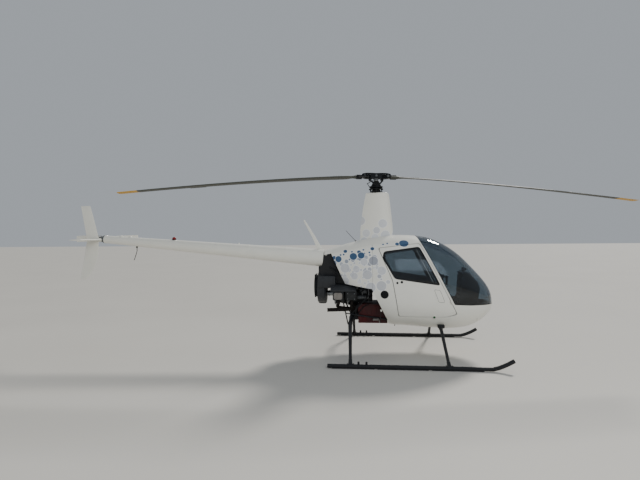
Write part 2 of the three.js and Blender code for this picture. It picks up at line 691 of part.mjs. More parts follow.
function addTail() {
  const room = boomSolid(BOOM.wall, 10).intersect(box(-5000, BOOM.frontX - BOOM.wall, -200, 200, 0, 2000));
  const mouth = rod(
    point(BOOM.frontX - 40, 0, BOOM.frontZ), point(BOOM.frontX + 40, 0, BOOM.frontZ), 70, 70, 20);
  addPiece('tail_boom', without(boomSolid(0), [room, mouth]), WHITE());

  const { x, y, z } = TAIL_ROTOR;
  addPiece('tail_gearbox', joined([
    rod(point(BOOM.rearX - SEAT_GAP, 0, BOOM.rearZ), point(BOOM.rearX - 22, 0, BOOM.rearZ), 62, 58, 20),
    rod(point(BOOM.rearX - 20, 0, BOOM.rearZ), point(x, 0, z), 46, 44, 16),
    rod(point(x, -50, z), point(x, 60, z), 50, 50, 20),
    rod(point(x, 55, z), point(x, y - 62, z), 34, 26, 16),
  ]), STEEL());

  addPiece('empennage_bracket', joined([
    box(-4552, -4310, FIN_Y - 10, FIN_Y + 10, 1650, 1709),
    rod(point(x, FIN_Y + 5, z - 15), point(x, -50.3, z - 15), 20),
  ]), WHITE());

  const fin = (rows) => loft(rows.map(([height, lead, trail]) => foilRing(
    point(lead, FIN_Y, height), point(trail, FIN_Y, height), point(0, 8, 0))));
  addPiece('fin_upper', fin([[1709.3, -4351, -4552], [2216, -4485, -4644]]), WHITE());
  addPiece('fin_lower', fin([[1649.7, -4351, -4553], [1398, -4375, -4597], [1149, -4462, -4645],
    [1052, -4560, -4664]]), WHITE());
  const stabiliserRows = [[-74.3, -4284, -4512], [-580, -4290, -4500]];
  addPiece('stabiliser', loft(stabiliserRows.map(([side, lead, trail]) => foilRing(
    point(lead, side, 1679), point(trail, side, 1679), point(0, 0, 12)))), WHITE());
}

// Aerials and lamps on the outside
const STROBE_X = -3140;
const WHIP_X = -3753;
function addFittings() {
  const boomRoom = boomSolid(-SEAT_GAP);
  const top = (x) => boomAt(x).z + boomAt(x).radius;
  const aerial = [[-800, top(-800) - 10], [-890, top(-890) - 10], [-1098, 1950], [-1078, 1958]];
  addPiece('blade_aerial', slab(aerial, -7, 7).subtract(boomRoom), WHITE());
  const lamp = [[0, -12], [32, -12], [30, 18], [20, 38], [0, 44]];
  const strobe = turned(lamp.map(([r, h]) => [r, h + top(STROBE_X)]), 16).translate([STROBE_X, 0, 0]);
  addPiece('strobe_lamp', strobe.subtract(boomRoom), paint(0x8a1512, 0.2, 0));
  const whip = bars([
    point(WHIP_X, 0, boomAt(WHIP_X).z), point(WHIP_X, 0, 1500), point(WHIP_X - 51, 0, 1348),
  ], 5);
  addPiece('whip_aerial', whip.subtract(boomRoom), WHITE());
  const roofWhip = rod(point(-305, 0, 1610), point(-455, 0, 1790), 4, 3);
  addPiece('roof_whip', roofWhip.subtract(hull(-SEAT_GAP)), BLACK());
}

// Main rotor
// columns: radius, chord, thickness, pitch in degrees
const BLADE = [
  [212, 78, 60, 0],
  [300, 84, 52, 0],
  [360, 120, 34, 6],
  [470, ROTOR_CHORD, 26, 8],
  [900, ROTOR_CHORD, 24, 7.3],
  [1500, ROTOR_CHORD, 23, 6.1],
  [2100, ROTOR_CHORD, 22, 4.8],
  [2800, ROTOR_CHORD, 21, 3.4],
  [3400, ROTOR_CHORD, 20, 2.3],
  [ROTOR_RADIUS, ROTOR_CHORD, 20, 1.6],
];

function rotorBlade() {
  const rootR = BLADE[0][0];
  const sag = (r) => -BLADE_DROOP * ((r - rootR) / (ROTOR_RADIUS - rootR)) ** 1.4;
  const blade = loft(BLADE.map(([r, chord, thickness, pitch]) => {
    const tilt = THREE.MathUtils.degToRad(pitch);
    const forward = point(0, Math.cos(tilt), Math.sin(tilt));
    const across = point(0, -Math.sin(tilt), Math.cos(tilt));
    const axis = point(r, 0, sag(r) - 18);
    const leading = axis.clone().addScaledVector(forward, chord * 0.3);
    const trailing = axis.clone().addScaledVector(forward, -chord * 0.7);
    return foilRing(leading, trailing, across.multiplyScalar(thickness / 2));
  }));
  const horn = joined([
    box(222, 262, -10, 128, -30, -8),
    box(118, 262, 96, 128, -30, -8),
  ]);
  return blade.add(horn);
}

function addMainRotor() {
  const spin = new THREE.Group();
  spin.rotation.z = THREE.MathUtils.degToRad(ROTOR_PARK_DEG);
  craft.add(spin);
  const flap = new THREE.Group();
  flap.position.z = TEETER_Z;
  flap.rotation.y = THREE.MathUtils.degToRad(ROTOR_TILT_DEG);
  spin.add(flap);

  const pin = rod(point(0, -66, TEETER_Z), point(0, 66, TEETER_Z), 12, 12, 24);
  addPiece('rotor_shaft', joined([
    rod(point(0, 0, GEARBOX.z1 + SEAT_GAP), point(0, 0, TEETER_Z - 40), MAST.shaft, MAST.shaft, 20),
    box(-30, 30, -24, 24, TEETER_Z - 60, TEETER_Z + 24),
    pin,
  ]), STEEL(), spin);

  const ringBase = MAST.top + 25;
  const arms = [-1, 1].map((side) => box(-22, 22, side * 94 - 34, side * 94 + 34, ringBase, ringBase + 18));
  const links = [-1, 1].map((side) => rod(point(side * 4, side * 112, ringBase + 10),
    point(side * 112, side * 112, TEETER_Z - 62), 8));
  const eye = MAST.shaft + SEAT_GAP;
  const ring = turned([
    [eye, ringBase], [100, ringBase], [104, ringBase + 9], [98, ringBase + 20], [eye, ringBase + 20],
    [eye, ringBase],
  ]);
  addPiece('pitch_ring', joined([ring, ...arms, ...links]), DARK_STEEL(), spin);

  const pinHole = rod(point(0, -80, 0), point(0, 80, 0), 12.6, 12.6, 24);
  const cheeks = [-1, 1].map((side) => box(-211.7, 211.7, side * 42 - 12, side * 42 + 12, -44, 42));
  const ends = [-1, 1].map((side) => box(side * 146 - 65.7, side * 146 + 65.7, -54, 54, -44, 42));
  addPiece('rotor_hub', joined([...cheeks, ...ends]).subtract(pinHole), BLACK(), flap);

  ['blade_a', 'blade_b'].forEach((name, i) => {
    const mesh = addPiece(name, rotorBlade(), paint(0x5f625c, 0.5, 0), flap);
    mesh.rotation.z = i * Math.PI;
  });
}

// Tail rotor
function addTailRotor() {
  const { x, y, z, radius, chord, parkDeg } = TAIL_ROTOR;
  const spin = new THREE.Group();
  spin.position.set(x, y, z);
  spin.rotation.y = THREE.MathUtils.degToRad(-parkDeg);
  craft.add(spin);
  addPiece('tail_rotor_hub', joined([
    rod(point(0, -61.5, 0), point(0, 22, 0), 15, 15, 16),
    box(-70, 70, -16, 16, -28, 28),
  ]), DARK_STEEL(), spin);
  // columns: radius, chord, thickness
  const rows = [[70.3, 44, 24], [120, 60, 20], [170, chord, 14], [radius, chord, 12]];
  const blade = loft(rows.map(([r, width, thick]) => foilRing(
    point(r, 0, width * 0.35), point(r, 0, -width * 0.65), point(0, thick / 2, 0))));
  ['tail_blade_a', 'tail_blade_b'].forEach((name, i) => {
    const mesh = addPiece(name, blade, WHITE(), spin);
    mesh.rotation.y = i * Math.PI;
  });
}

addHullPanels();
addDoors();
addCabin();
addMast();
addEngineBay();
addPiece('engine_frame', engineFrame(), BLACK());
addLandingGear();
addTail();
addFittings();
addMainRotor();
addTailRotor();

const group = craft;
export default group;
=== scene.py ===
import json
from math import asin, copysign, cos, exp, pi, radians, sin, sqrt

import bmesh
import bpy
from bpy.props import FloatProperty, FloatVectorProperty, PointerProperty
from mathutils import Matrix, Vector
from mathutils.bvhtree import BVHTree


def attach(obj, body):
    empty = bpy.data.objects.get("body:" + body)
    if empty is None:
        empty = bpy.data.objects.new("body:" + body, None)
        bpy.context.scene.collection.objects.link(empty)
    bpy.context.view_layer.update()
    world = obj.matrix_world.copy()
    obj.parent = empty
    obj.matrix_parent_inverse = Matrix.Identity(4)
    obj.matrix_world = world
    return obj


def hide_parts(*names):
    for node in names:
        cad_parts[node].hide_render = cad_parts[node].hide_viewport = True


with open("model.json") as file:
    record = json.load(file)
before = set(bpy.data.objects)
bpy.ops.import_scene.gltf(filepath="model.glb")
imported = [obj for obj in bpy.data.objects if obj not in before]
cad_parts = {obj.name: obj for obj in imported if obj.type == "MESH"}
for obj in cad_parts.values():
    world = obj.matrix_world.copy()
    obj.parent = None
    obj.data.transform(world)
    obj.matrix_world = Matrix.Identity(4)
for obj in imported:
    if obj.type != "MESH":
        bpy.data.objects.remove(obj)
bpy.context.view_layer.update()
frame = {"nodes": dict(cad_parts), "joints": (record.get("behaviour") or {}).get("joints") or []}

bl_info = {
    "name": "Light helicopter dresser",
    "version": (1, 0, 0),
    "blender": (4, 5, 0),
    "location": "3D View > Sidebar > Helicopter",
    "description": "Builds the skins, cabin, rotors, engine bay and landing gear of a light helicopter",
    "category": "Add Mesh",
}

# Forms are modelled in millimetres from the rotor mast, with +X to the nose and z = 0 on the ground
MAST_X = next(j for j in frame["joints"] if j["name"] == "main_rotor_spin")["pos_m"][0]
INTO_FRAME = Matrix.Translation((MAST_X, 0, 0)) @ Matrix.Scale(0.001, 4)
LEFT, RIGHT = 1, -1
BOTH = (LEFT, RIGHT)
SIDES = ((LEFT, "left"), (RIGHT, "right"))

# Hull sections from nose to tail
# columns: x, half width, widest z, top z, bottom z, fullness of the curve
HULL = (
    (1637, 0, 750, 750, 750, 2.0),
    (1615, 150, 768, 895, 625, 2.0),
    (1565, 245, 795, 997, 562, 2.1),
    (1475, 335, 830, 1115, 488, 2.2),
    (1340, 415, 865, 1262, 415, 2.3),
    (1180, 480, 895, 1422, 380, 2.45),
    (1000, 525, 920, 1556, 370, 2.6),
    (800, 550, 940, 1656, 378, 2.7),
    (600, 560, 955, 1700, 393, 2.75),
    (380, 560, 970, 1717, 410, 2.75),
    (150, 545, 990, 1711, 432, 2.7),
    (-80, 490, 1040, 1679, 560, 2.6),
    (-280, 410, 1110, 1635, 760, 2.5),
    (-480, 305, 1190, 1585, 930, 2.4),
    (-660, 205, 1290, 1528, 1110, 2.3),
    (-775, 146, 1368, 1500, 1236, 2.0),
)
HULL_LAST = len(HULL) - 1
NOSE_FALL = 1.5

# Side outlines as x, z pairs
WINDSHIELD = ((523, 1766), (1038, 764), (1258, 747), (1547, 739), (1720, 739), (1720, 1766))
DOOR = ((1100, 585), (284, 585), (245, 829), (200, 1088), (10, 1538), (583, 1603))
DOOR_OPENING = ((1082, 620), (960, 585)) + DOOR[1:]
DOOR_LEAF = ((1079, 627), (930, 585)) + DOOR[1:]
DOOR_WINDOW = ((838, 1030), (234, 1119), (75, 1401), (92, 1484), (574, 1548))
ENGINE_BAY = ((165, 300), (137, 526), (-78, 968), (-458, 1019), (-668, 1456), (-900, 1456), (-900, 300))
ROOF = (
    (700, 1672), (560, 1648), (250, 1620), (-60, 1592), (-300, 1536), (-668, 1456), (-900, 1400),
    (-900, 1900), (700, 1900),
)
COWL_SEAM_X = -66
WIDE = 700


def linear(code):
    """Turns an sRGB hex colour into the linear colour that shaders take."""
    values = [int(code[i:i + 2], 16) / 255 for i in (1, 3, 5)]
    return [v / 12.92 if v <= 0.04045 else ((v + 0.055) / 1.055) ** 2.4 for v in values] + [1.0]


def between(rows, s):
    """Reads a table of rows at a fractional row number, on a smooth curve through the rows."""
    i = min(int(s), len(rows) - 2)
    t = s - i
    a, b, c, d = (rows[min(max(k, 0), len(rows) - 1)] for k in (i - 1, i, i + 1, i + 2))
    out = []
    for before, start, end, after in zip(a, b, c, d):
        m0, m1 = (end - before) / 2, (after - start) / 2
        rise = end - start
        out.append(start + t * (m0 + t * (3 * rise - 2 * m0 - m1 + t * (m0 + m1 - 2 * rise))))
    return out


def straight(rows, s):
    """Reads a table of rows at a fractional row number, on straight runs."""
    i = min(int(s), len(rows) - 2)
    return [start + (s - i) * (end - start) for start, end in zip(rows[i], rows[i + 1])]


def smooth_path(points, steps=8):
    """A smooth curve through a few points."""
    count = (len(points) - 1) * steps
    return [Vector(between(points, i / steps)) for i in range(count)] + [Vector(points[-1])]


def grow(points, distance):
    """Moves every side of an outline outwards by a distance, which may be negative."""
    count = len(points)
    turn = sum(p[0] * q[1] - q[0] * p[1] for p, q in zip(points, points[1:] + points[:1]))
    side = copysign(distance, turn * distance)
    out = []
    for i, point in enumerate(points):
        here = Vector(point)
        into = (here - Vector(points[i - 1])).normalized()
        away = (Vector(points[(i + 1) % count]) - here).normalized()
        scale = side / (1 + into.dot(away))
        out.append((here.x + (into.y + away.y) * scale, here.y - (into.x + away.x) * scale))
    return tuple(out)


def round_corners(points, radius, steps=8):
    """An outline with a quadratic curve at each corner."""
    out = []
    for i, point in enumerate(points):
        corner = Vector(point)
        start = corner + (Vector(points[i - 1]) - corner).normalized() * radius
        end = corner + (Vector(points[(i + 1) % len(points)]) - corner).normalized() * radius
        for k in range(steps + 1):
            t = k / steps
            out.append(start.lerp(corner, t).lerp(corner.lerp(end, t), t))
    return out


def hull_ring(s, inset=0.0):
    x, half, middle, top, bottom, fullness = between(HULL, s)
    room = max(half - inset, 0.01)
    up = max(top - middle - inset, 0.01)
    down = max(middle - bottom - inset, 0.01)
    return x - inset * exp(-s / NOSE_FALL), room, middle, up, down, fullness


def hull_point(s, angle, inset=0.0):
    x, room, middle, up, down, fullness = hull_ring(s, inset)
    across, rise = cos(angle), sin(angle)
    bend = 2 / fullness
    lift = up if rise > 0 else down
    return Vector((
        x,
        copysign(room * abs(across) ** bend, across),
        middle + copysign(lift * abs(rise) ** bend, rise),
    ))


def station(x, inset=0.0):
    """The fractional row of the hull's table at a distance from the mast."""
    low, high = 0.0, float(HULL_LAST)
    for _ in range(26):
        middle = (low + high) / 2
        low, high = (middle, high) if hull_ring(middle, inset)[0] > x else (low, middle)
    return low


def hull_side(x, z, inset=0.0):
    """Half width of the hull at a station and height."""
    _, room, widest, up, down, fullness = hull_ring(station(x, inset), inset)
    share = abs((z - widest) / (up if z > widest else down)) ** fullness
    return room * max(1 - share, 0.0) ** (1 / fullness)


def hull_height(x, y, over=1):
    """Height of the hull's top, or of its belly where over is -1."""
    _, room, widest, up, down, fullness = hull_ring(station(x))
    reach = up if over > 0 else -down
    return widest + reach * max(1 - abs(y / room) ** fullness, 0.0) ** (1 / fullness)


def on_hull(x, z, side, inset=0.0):
    return Vector((x, side * hull_side(x, z, inset), z))


# Profiles of turned forms, as pairs of radius and distance along the axis
def rod(radius, low, high):
    return (0, low), (radius, low), (radius, high), (0, high)


def tube(inner, outer, low, high):
    return (inner, low), (outer, low), (outer, high), (inner, high), (inner, low)


def plate(x0, z0, x1, z1, radius, steps=8):
    """Outline of a plate with round corners."""
    return round_corners(((x0, z0), (x1, z0), (x1, z1), (x0, z1)), radius, steps)


def circle(count, radius, axis):
    """Offsets round a circle across an axis."""
    for k in range(count):
        angle = 2 * pi * k / count
        spot = [radius * cos(angle), radius * sin(angle)]
        spot.insert("xyz".index(axis), 0)
        yield Vector(spot)


# Forms
def add_skin(form, across, along, place, mat=0, caps=True):
    """Bends a grid into a tube or sheet, where place(u, v) gives the point u round it and v along it."""
    verts = bmesh.ops.create_grid(form, x_segments=across, y_segments=along, size=0.5)["verts"]
    faces = list({face for v in verts for face in v.link_faces})
    for v in verts:
        v.co = place(v.co.x + 0.5, v.co.y + 0.5)
    for face in faces:
        face.material_index = mat
    bmesh.ops.remove_doubles(form, verts=verts, dist=0.002)
    if caps:
        edges = {edge for face in faces if face.is_valid for edge in face.edges}
        rim = [edge for edge in edges if edge.is_boundary]
        for face in bmesh.ops.holes_fill(form, edges=rim)["faces"] if rim else []:
            face.material_index = mat


def add_turned(form, profile, origin=(0, 0, 0), axis=(0, 0, 1), mat=0, steps=48):
    """A form turned about an axis."""
    turn = Vector(axis).to_track_quat("Z", "Y").to_matrix()
    start = Vector(origin)
    last = len(profile) - 1

    def place(u, v):
        radius, height = profile[round(v * last)]
        angle = 2 * pi * u
        return start + turn @ Vector((radius * cos(angle), radius * sin(angle), height))

    add_skin(form, steps, last, place, mat)


def add_head(form, radius, height, crown, spot, axis=(0, 0, 1), mat=0, top=None, steps=6):
    """The head of a bolt or rivet, with a low crown and a top that may be narrower."""
    profile = (0, 0), (radius, 0), (top or radius, height), (0, height + crown)
    add_turned(form, profile, spot, axis, mat, steps)


def add_bar(form, path, radius, mat=0, sides=16, loop=False, flat=1.0, up=None):
    """A bar along a path. The radius is one number or one for each point, and flat squeezes it."""
    points = [Vector(p) for p in path]
    count = len(points)
    radii = radius if isinstance(radius, (list, tuple)) else [radius] * count
    rings = []
    lift = Vector(up) if up else None
    for i, p in enumerate(points):
        before = points[i - 1] if i or loop else p
        after = points[(i + 1) % count] if i + 1 < count or loop else p
        forward = (after - before).normalized()
        lift = lift or forward.orthogonal()
        lift = (lift - forward * lift.dot(forward)).normalized()
        rings.append((p, forward.cross(lift), lift.copy(), radii[i]))
    if loop:
        rings.append(rings[0])

    def place(u, v):
        p, side, top, size = rings[round(v * (len(rings) - 1))]
        angle = 2 * pi * u
        return p + side * (size * cos(angle)) + top * (size * flat * sin(angle))

    add_skin(form, sides, len(rings) - 1, place, mat, caps=not loop)


def add_box(form, start, end, round_by=0.0, mat=0, segments=2):
    """A box between two opposite corners, with its edges rounded."""
    low, high = Vector(map(min, start, end)), Vector(map(max, start, end))
    place = Matrix.Translation((low + high) / 2) @ Matrix.Diagonal((*(high - low), 1))
    verts = bmesh.ops.create_cube(form, size=1, matrix=place)["verts"]
    faces = {face for v in verts for face in v.link_faces}
    for face in faces:
        face.material_index = mat
    if round_by:
        edges = list({edge for face in faces for edge in face.edges})
        bmesh.ops.bevel(form, geom=edges, offset=round_by, offset_type="OFFSET", segments=segments,
                        profile=0.5, affect="EDGES", material=-1)


def add_slab(form, outline, start, end, mat=0, plane="xz"):
    """A flat slab with an outline in one plane, from start to end across it."""
    low, high = sorted((start, end))
    k = 3 - "xyz".index(plane[0]) - "xyz".index(plane[1])
    verts = [form.verts.new((*p[:k], low, *p[k:2])) for p in outline]
    face = form.faces.new(verts)
    out = bmesh.ops.extrude_face_region(form, geom=[face], use_keep_orig=True)["geom"]
    moved = [g for g in out if isinstance(g, bmesh.types.BMVert)]
    reach = Vector()
    reach[k] = high - low
    bmesh.ops.translate(form, verts=moved, vec=reach)
    for v in verts + moved:
        for near in v.link_faces:
            near.material_index = mat


def slab(outline, low=-WIDE, high=WIDE, radius=0.0):
    form = bmesh.new()
    add_slab(form, round_corners(outline, radius) if radius else outline, low, high)
    bmesh.ops.recalc_face_normals(form, faces=form.faces)
    return form


def block(low, high):
    form = bmesh.new()
    add_box(form, low, high)
    return form


def hull_form(inset=0.0, across=112, along=104):
    form = bmesh.new()
    add_skin(form, across, along,
             lambda u, v: hull_point(HULL_LAST * v ** 1.2, 2 * pi * (u + 0.5 / across), inset))
    bmesh.ops.recalc_face_normals(form, faces=form.faces)
    return form


def carve(form, tool, operation="DIFFERENCE"):
    """Cuts one closed form with another. The faces that the tool leaves get material 1."""
    for face in tool.faces:
        face.material_index = 1
    pair = []
    for source in (form, tool):
        mesh = bpy.data.meshes.new("carving")
        source.to_mesh(mesh)
        source.free()
        mesh.materials.append(None)
        mesh.materials.append(None)
        pair.append(bpy.data.objects.new("carving", mesh))
        bpy.context.scene.collection.objects.link(pair[-1])
    cut = pair[0].modifiers.new("cut", "BOOLEAN")
    cut.operation = operation
    cut.solver = "EXACT"
    cut.object = pair[1]
    result = bmesh.new()
    result.from_object(pair[0], bpy.context.evaluated_depsgraph_get())
    for part in pair:
        mesh = part.data
        bpy.data.objects.remove(part)
        bpy.data.meshes.remove(mesh)
    return result


def hull_panel(keep, cuts=(), inset=0.0, thickness=20.0):
    """A panel of the hull's skin inside some tools and outside others, with its thickness inwards."""
    form = hull_form(inset)
    for tool in keep:
        form = carve(form, tool, "INTERSECT")
    for tool in cuts:
        form = carve(form, tool)
    for spare in (lambda face: face.material_index == 1, lambda face: len(face.verts) > 40):
        bmesh.ops.delete(form, geom=[face for face in form.faces if spare(face)], context="FACES")
    bmesh.ops.dissolve_degenerate(form, dist=0.02, edges=form.edges)
    bmesh.ops.solidify(form, geom=form.faces, thickness=thickness)
    for face in form.faces:
        face.material_index = 0
    return form


class HullShade:
    """Gives hull panels the smooth normals of the whole hull, so that no seam shows in the gloss."""

    def __init__(self):
        form = hull_form()
        self.normals = [v.normal.copy() for v in form.verts]
        self.faces = [[v.index for v in face.verts] for face in form.faces]
        self.points = [v.co.copy() for v in form.verts]
        self.tree = BVHTree.FromBMesh(form)
        form.free()

    def normal(self, point):
        _, _, index, _ = self.tree.find_nearest(point)
        total = Vector()
        for k in self.faces[index]:
            total += self.normals[k] / max((self.points[k] - point).length, 0.01) ** 2
        return total.normalized()


hull_shade = HullShade()

ARC_STEPS, ARC_TURNS = 4, 32


def hull_arcs():
    """Lengths along the hull's section from its widest point up to the crown, station by station."""
    table = []
    for i in range(HULL_LAST * ARC_STEPS + 1):
        line = [hull_point(i / ARC_STEPS, pi / 2 * k / ARC_TURNS) for k in range(ARC_TURNS + 1)]
        sums = [line[0].z]
        for start, end in zip(line, line[1:]):
            sums.append(sums[-1] + (end - start).length)
        table.append(sums)
    return table


hull_arc_table = hull_arcs()


def wrap_hull(p):
    """Station and height of a point when the hull's skin is rolled out flat, in metres."""
    s = station(p.x)
    _, _, widest, up, _, fullness = hull_ring(s)
    if p.z <= widest:
        return p.x * 0.001, p.z * 0.001
    share = min((p.z - widest) / up, 1.0) ** (fullness / 2)
    row, turn = s * ARC_STEPS, asin(share) / (pi / 2) * ARC_TURNS
    i, k = min(int(row), len(hull_arc_table) - 2), min(int(turn), ARC_TURNS - 1)
    near, far = (line[k] + (turn - k) * (line[k + 1] - line[k]) for line in hull_arc_table[i:i + 2])
    return p.x * 0.001, (near + (row - i) * (far - near)) * 0.001


FAIRING_WRAP = 2.0


def wrap_fairing(p):
    return p.x * 0.001, p.z * 0.001 + FAIRING_WRAP


def make_piece(name, form, finishes, body="airframe", stands_for=(), bevel=0.0, sharp=38.0, on_skin=False,
               wrap=None):
    """Turns a form into a finished object that rides on a body. Its finishes are names with a space between."""
    bmesh.ops.recalc_face_normals(form, faces=form.faces)
    shades = [hull_shade.normal(v.co) for v in form.verts] if on_skin else None
    if wrap:
        layer = form.loops.layers.uv.new("wrap")
        places = {v: wrap(v.co) for v in form.verts}
        for face in form.faces:
            for corner in face.loops:
                corner[layer].uv = places[corner.vert]
    form.transform(INTO_FRAME)
    mesh = bpy.data.meshes.new(name)
    form.to_mesh(mesh)
    form.free()
    for finish_name in finishes.split():
        mesh.materials.append(finish(finish_name))
    mesh.shade_smooth()
    if shades:
        normals = []
        for face in mesh.polygons:
            # Faces turned inwards take the second finish, the dark lining, which inside the cowls is painted shade
            if len(mesh.materials) > 1 and face.normal.dot(shades[face.vertices[0]]) < -0.3:
                face.material_index = 1
            for k in face.vertices:
                facing = face.normal.dot(shades[k])
                shade = shades[k] if facing > 0 else -shades[k]
                normals.append(shade if abs(facing) > 0.8 else face.normal)
        mesh.normals_split_custom_set(normals)
    else:
        mesh.set_sharp_from_angle(angle=radians(sharp))
    piece = bpy.data.objects.new(name, mesh)
    bpy.context.scene.collection.objects.link(piece)
    if bevel:
        edge = piece.modifiers.new("edge", "BEVEL")
        edge.width = bevel * 0.001
        edge.segments = 2
        edge.limit_method = "ANGLE"
        edge.angle_limit = radians(40)
        edge.harden_normals = True
    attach(piece, body)
    if stands_for:
        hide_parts(*stands_for)
    return piece


# Materials
def plug(tree, socket, value):
    """Links a socket to another one, or sets its value."""
    if isinstance(value, bpy.types.NodeSocket):
        tree.links.new(value, socket)
    else:
        socket.default_value = value


def node(tree, kind, inputs=None, **settings):
    """Adds a shader node, with its settings, values and links."""
    made = tree.nodes.new(kind)
    for name, value in settings.items():
        setattr(made, name, value)
    for name, value in (inputs or {}).items():
        plug(tree, made.inputs[name], value)
    return made


def tone(code, share=1.0):
    """A hex colour or one of the user's colours as shaders take it, or a deeper tone of the user's."""
    if code.startswith("#"):
        return linear(code)
    return [value * share for value in getattr(bpy.context.scene.helicopter_colours, code)] + [1.0]


SEAM_TURN = 0.273
EDGE_BLUR = 0.008
PALE_EDGE = 0.005
# columns: discs across a metre, largest radius in metres, share kept, shift of the grid, share on the fairing
DISC_LAYERS = ((17.0, 0.015, 0.50, 1.130, 0.0), (10.5, 0.030, 0.75, 7.870, 0.0), (6.3, 0.070, 1.0, 3.180, 1.0))
# Lines of sums that place and shade a disc from the middle of its cell, where x and z are in metres
# columns: result, operation, two or three values
DISC_SUMS = (
    # The roof seam runs almost level over the door and falls away behind it
    ("level", "MULTIPLY_ADD", "x", 0.11, 1.645),
    ("fall", "MULTIPLY_ADD", "x", 0.28, 1.652),
    ("seam", "MINIMUM", "level", "fall"),
    ("room", "SUBTRACT", "seam", "z"),
    ("door_edge", "MULTIPLY_ADD", "z", -0.42, 0.60),
    ("behind", "LESS_THAN", "x", "door_edge"),
    ("above", "GREATER_THAN", "z", 1.62),
    ("short", "LESS_THAN", "x", 0.42),
    ("over_door", "MULTIPLY", "above", "short"),
    ("hull", "MAXIMUM", "behind", "over_door"),
    ("low_end", "GREATER_THAN", "z", 0.99),
    ("hull", "MULTIPLY", "hull", "low_end"),
    ("below_seam", "GREATER_THAN", "room", 0.012),
    ("hull", "MULTIPLY", "hull", "below_seam"),
    ("mast", "GREATER_THAN", "z", 1.62 + FAIRING_WRAP),
    ("under", "LESS_THAN", "z", 2.00 + FAIRING_WRAP),
    ("fairing", "MULTIPLY", "mast", "under"),
    ("fairing", "MULTIPLY", "fairing", "on_fairing"),
    ("share", "MAXIMUM", "hull", "fairing"),
    ("drawn", "LESS_THAN", "chance", "kept"),
    ("share", "MULTIPLY", "share", "drawn"),
    ("size", "MINIMUM", "radius", "largest"),
    ("size", "MULTIPLY", "size", 0.94),
    ("depth", "SUBTRACT", "size", "distance"),
    # Blue within 15 to 27 cm of the seam, grey further down, and fainter towards the belly and on the fairing
    ("blue", "MULTIPLY_ADD", "room", -1 / 0.12, 0.27 / 0.12),
    ("blue", "SUBTRACT", "blue", "fairing"),
    ("faint", "MULTIPLY_ADD", "z", 0.4 / 0.35, 0.6 - 0.95 * 0.4 / 0.35),
    ("faint", "MAXIMUM", "faint", 0.6),
    ("faint", "MINIMUM", "faint", 1.0),
    ("strength", "MULTIPLY_ADD", "dice", 0.60, 0.35),
    ("strength", "MULTIPLY", "strength", "faint"),
    ("on_mast", "MULTIPLY_ADD", "fairing", -0.45, 1.0),
    ("strength", "MULTIPLY", "strength", "on_mast"),
    ("strength", "MAXIMUM", "blue", "strength"),
    # The pale edge reaches past the disc
    ("edge", "MULTIPLY_ADD", "depth", 0.5 / EDGE_BLUR, "edge_reach"),
    ("edge", "MULTIPLY", "edge", "share"),
    ("edge", "MULTIPLY", "edge", 0.75),
    ("disc", "MULTIPLY_ADD", "depth", 0.5 / EDGE_BLUR, 0.5),
    ("disc", "MULTIPLY", "disc", "share"),
    ("disc", "MULTIPLY", "disc", "strength"),
)
CLAMPED = ("blue", "edge", "disc")


def lay_discs(tree, colour):
    """Vinyl discs with a pale edge. They follow the skin rolled out flat, so they stay round over the roof."""
    flat = node(tree, "ShaderNodeUVMap", uv_map="wrap").outputs[0]
    # Rows of discs run along the slope of the roof seam
    slope = node(tree, "ShaderNodeVectorRotate", {"Vector": flat, "Angle": -SEAM_TURN}, rotation_type="Z_AXIS")
    for per_metre, largest, kept, shift, on_fairing in DISC_LAYERS:
        step = (shift, shift, 0)
        moved = node(tree, "ShaderNodeVectorMath", {0: slope.outputs[0], 1: step}, operation="ADD").outputs[0]
        grid = {"Vector": moved, "Scale": per_metre, "Randomness": 0.50}
        cells = node(tree, "ShaderNodeTexVoronoi", grid, voronoi_dimensions="2D").outputs
        rooms = node(tree, "ShaderNodeTexVoronoi", grid, voronoi_dimensions="2D", feature="N_SPHERE_RADIUS")
        chance = node(tree, "ShaderNodeSeparateColor", {"Color": cells["Color"]}).outputs
        home = node(tree, "ShaderNodeVectorMath", {0: cells["Position"], 1: step}, operation="SUBTRACT")
        home = node(tree, "ShaderNodeVectorRotate", {"Vector": home.outputs[0], "Angle": SEAM_TURN},
                    rotation_type="Z_AXIS")
        at = node(tree, "ShaderNodeSeparateXYZ", {"Vector": home.outputs[0]}).outputs
        known = {
            "x": at["X"], "z": at["Y"], "chance": chance[0], "dice": chance[2], "distance": cells["Distance"],
            "radius": rooms.outputs["Radius"], "largest": largest * per_metre, "kept": kept,
            "on_fairing": on_fairing, "edge_reach": 0.5 + PALE_EDGE * per_metre * 0.5 / EDGE_BLUR,
        }
        for result, operation, *values in DISC_SUMS:
            inputs = {i: known.get(value, value) for i, value in enumerate(values)}
            known[result] = node(tree, "ShaderNodeMath", inputs, operation=operation,
                                 use_clamp=result in CLAMPED).outputs[0]
        hue = node(tree, "ShaderNodeMix", {"Factor": known["blue"], 6: tone("disc_grey"), 7: tone("disc_blue")},
                   data_type="RGBA").outputs[2]
        for part, over in (("edge", linear("#f6f7f8")), ("disc", hue)):
            colour = node(tree, "ShaderNodeMix", {"Factor": known[part], 6: colour, 7: over},
                          data_type="RGBA").outputs[2]
    return colour


TIP_START = 3.55


def paint_tips(tree, colour):
    """A warning band at the end of each blade, by the distance from the mast in metres."""
    place = node(tree, "ShaderNodeTexCoord").outputs["Object"]
    level = node(tree, "ShaderNodeMapping", {"Vector": place, "Location": (-MAST_X, 0, 0), "Scale": (1, 1, 0)})
    reach = node(tree, "ShaderNodeVectorMath", {0: level.outputs[0]}, operation="LENGTH")
    tip = node(tree, "ShaderNodeMath", {0: reach.outputs["Value"], 1: TIP_START}, operation="GREATER_THAN")
    return node(tree, "ShaderNodeMix", {"Factor": tip.outputs[0], 6: colour, 7: tone("blade_tips")},
                data_type="RGBA").outputs[2]


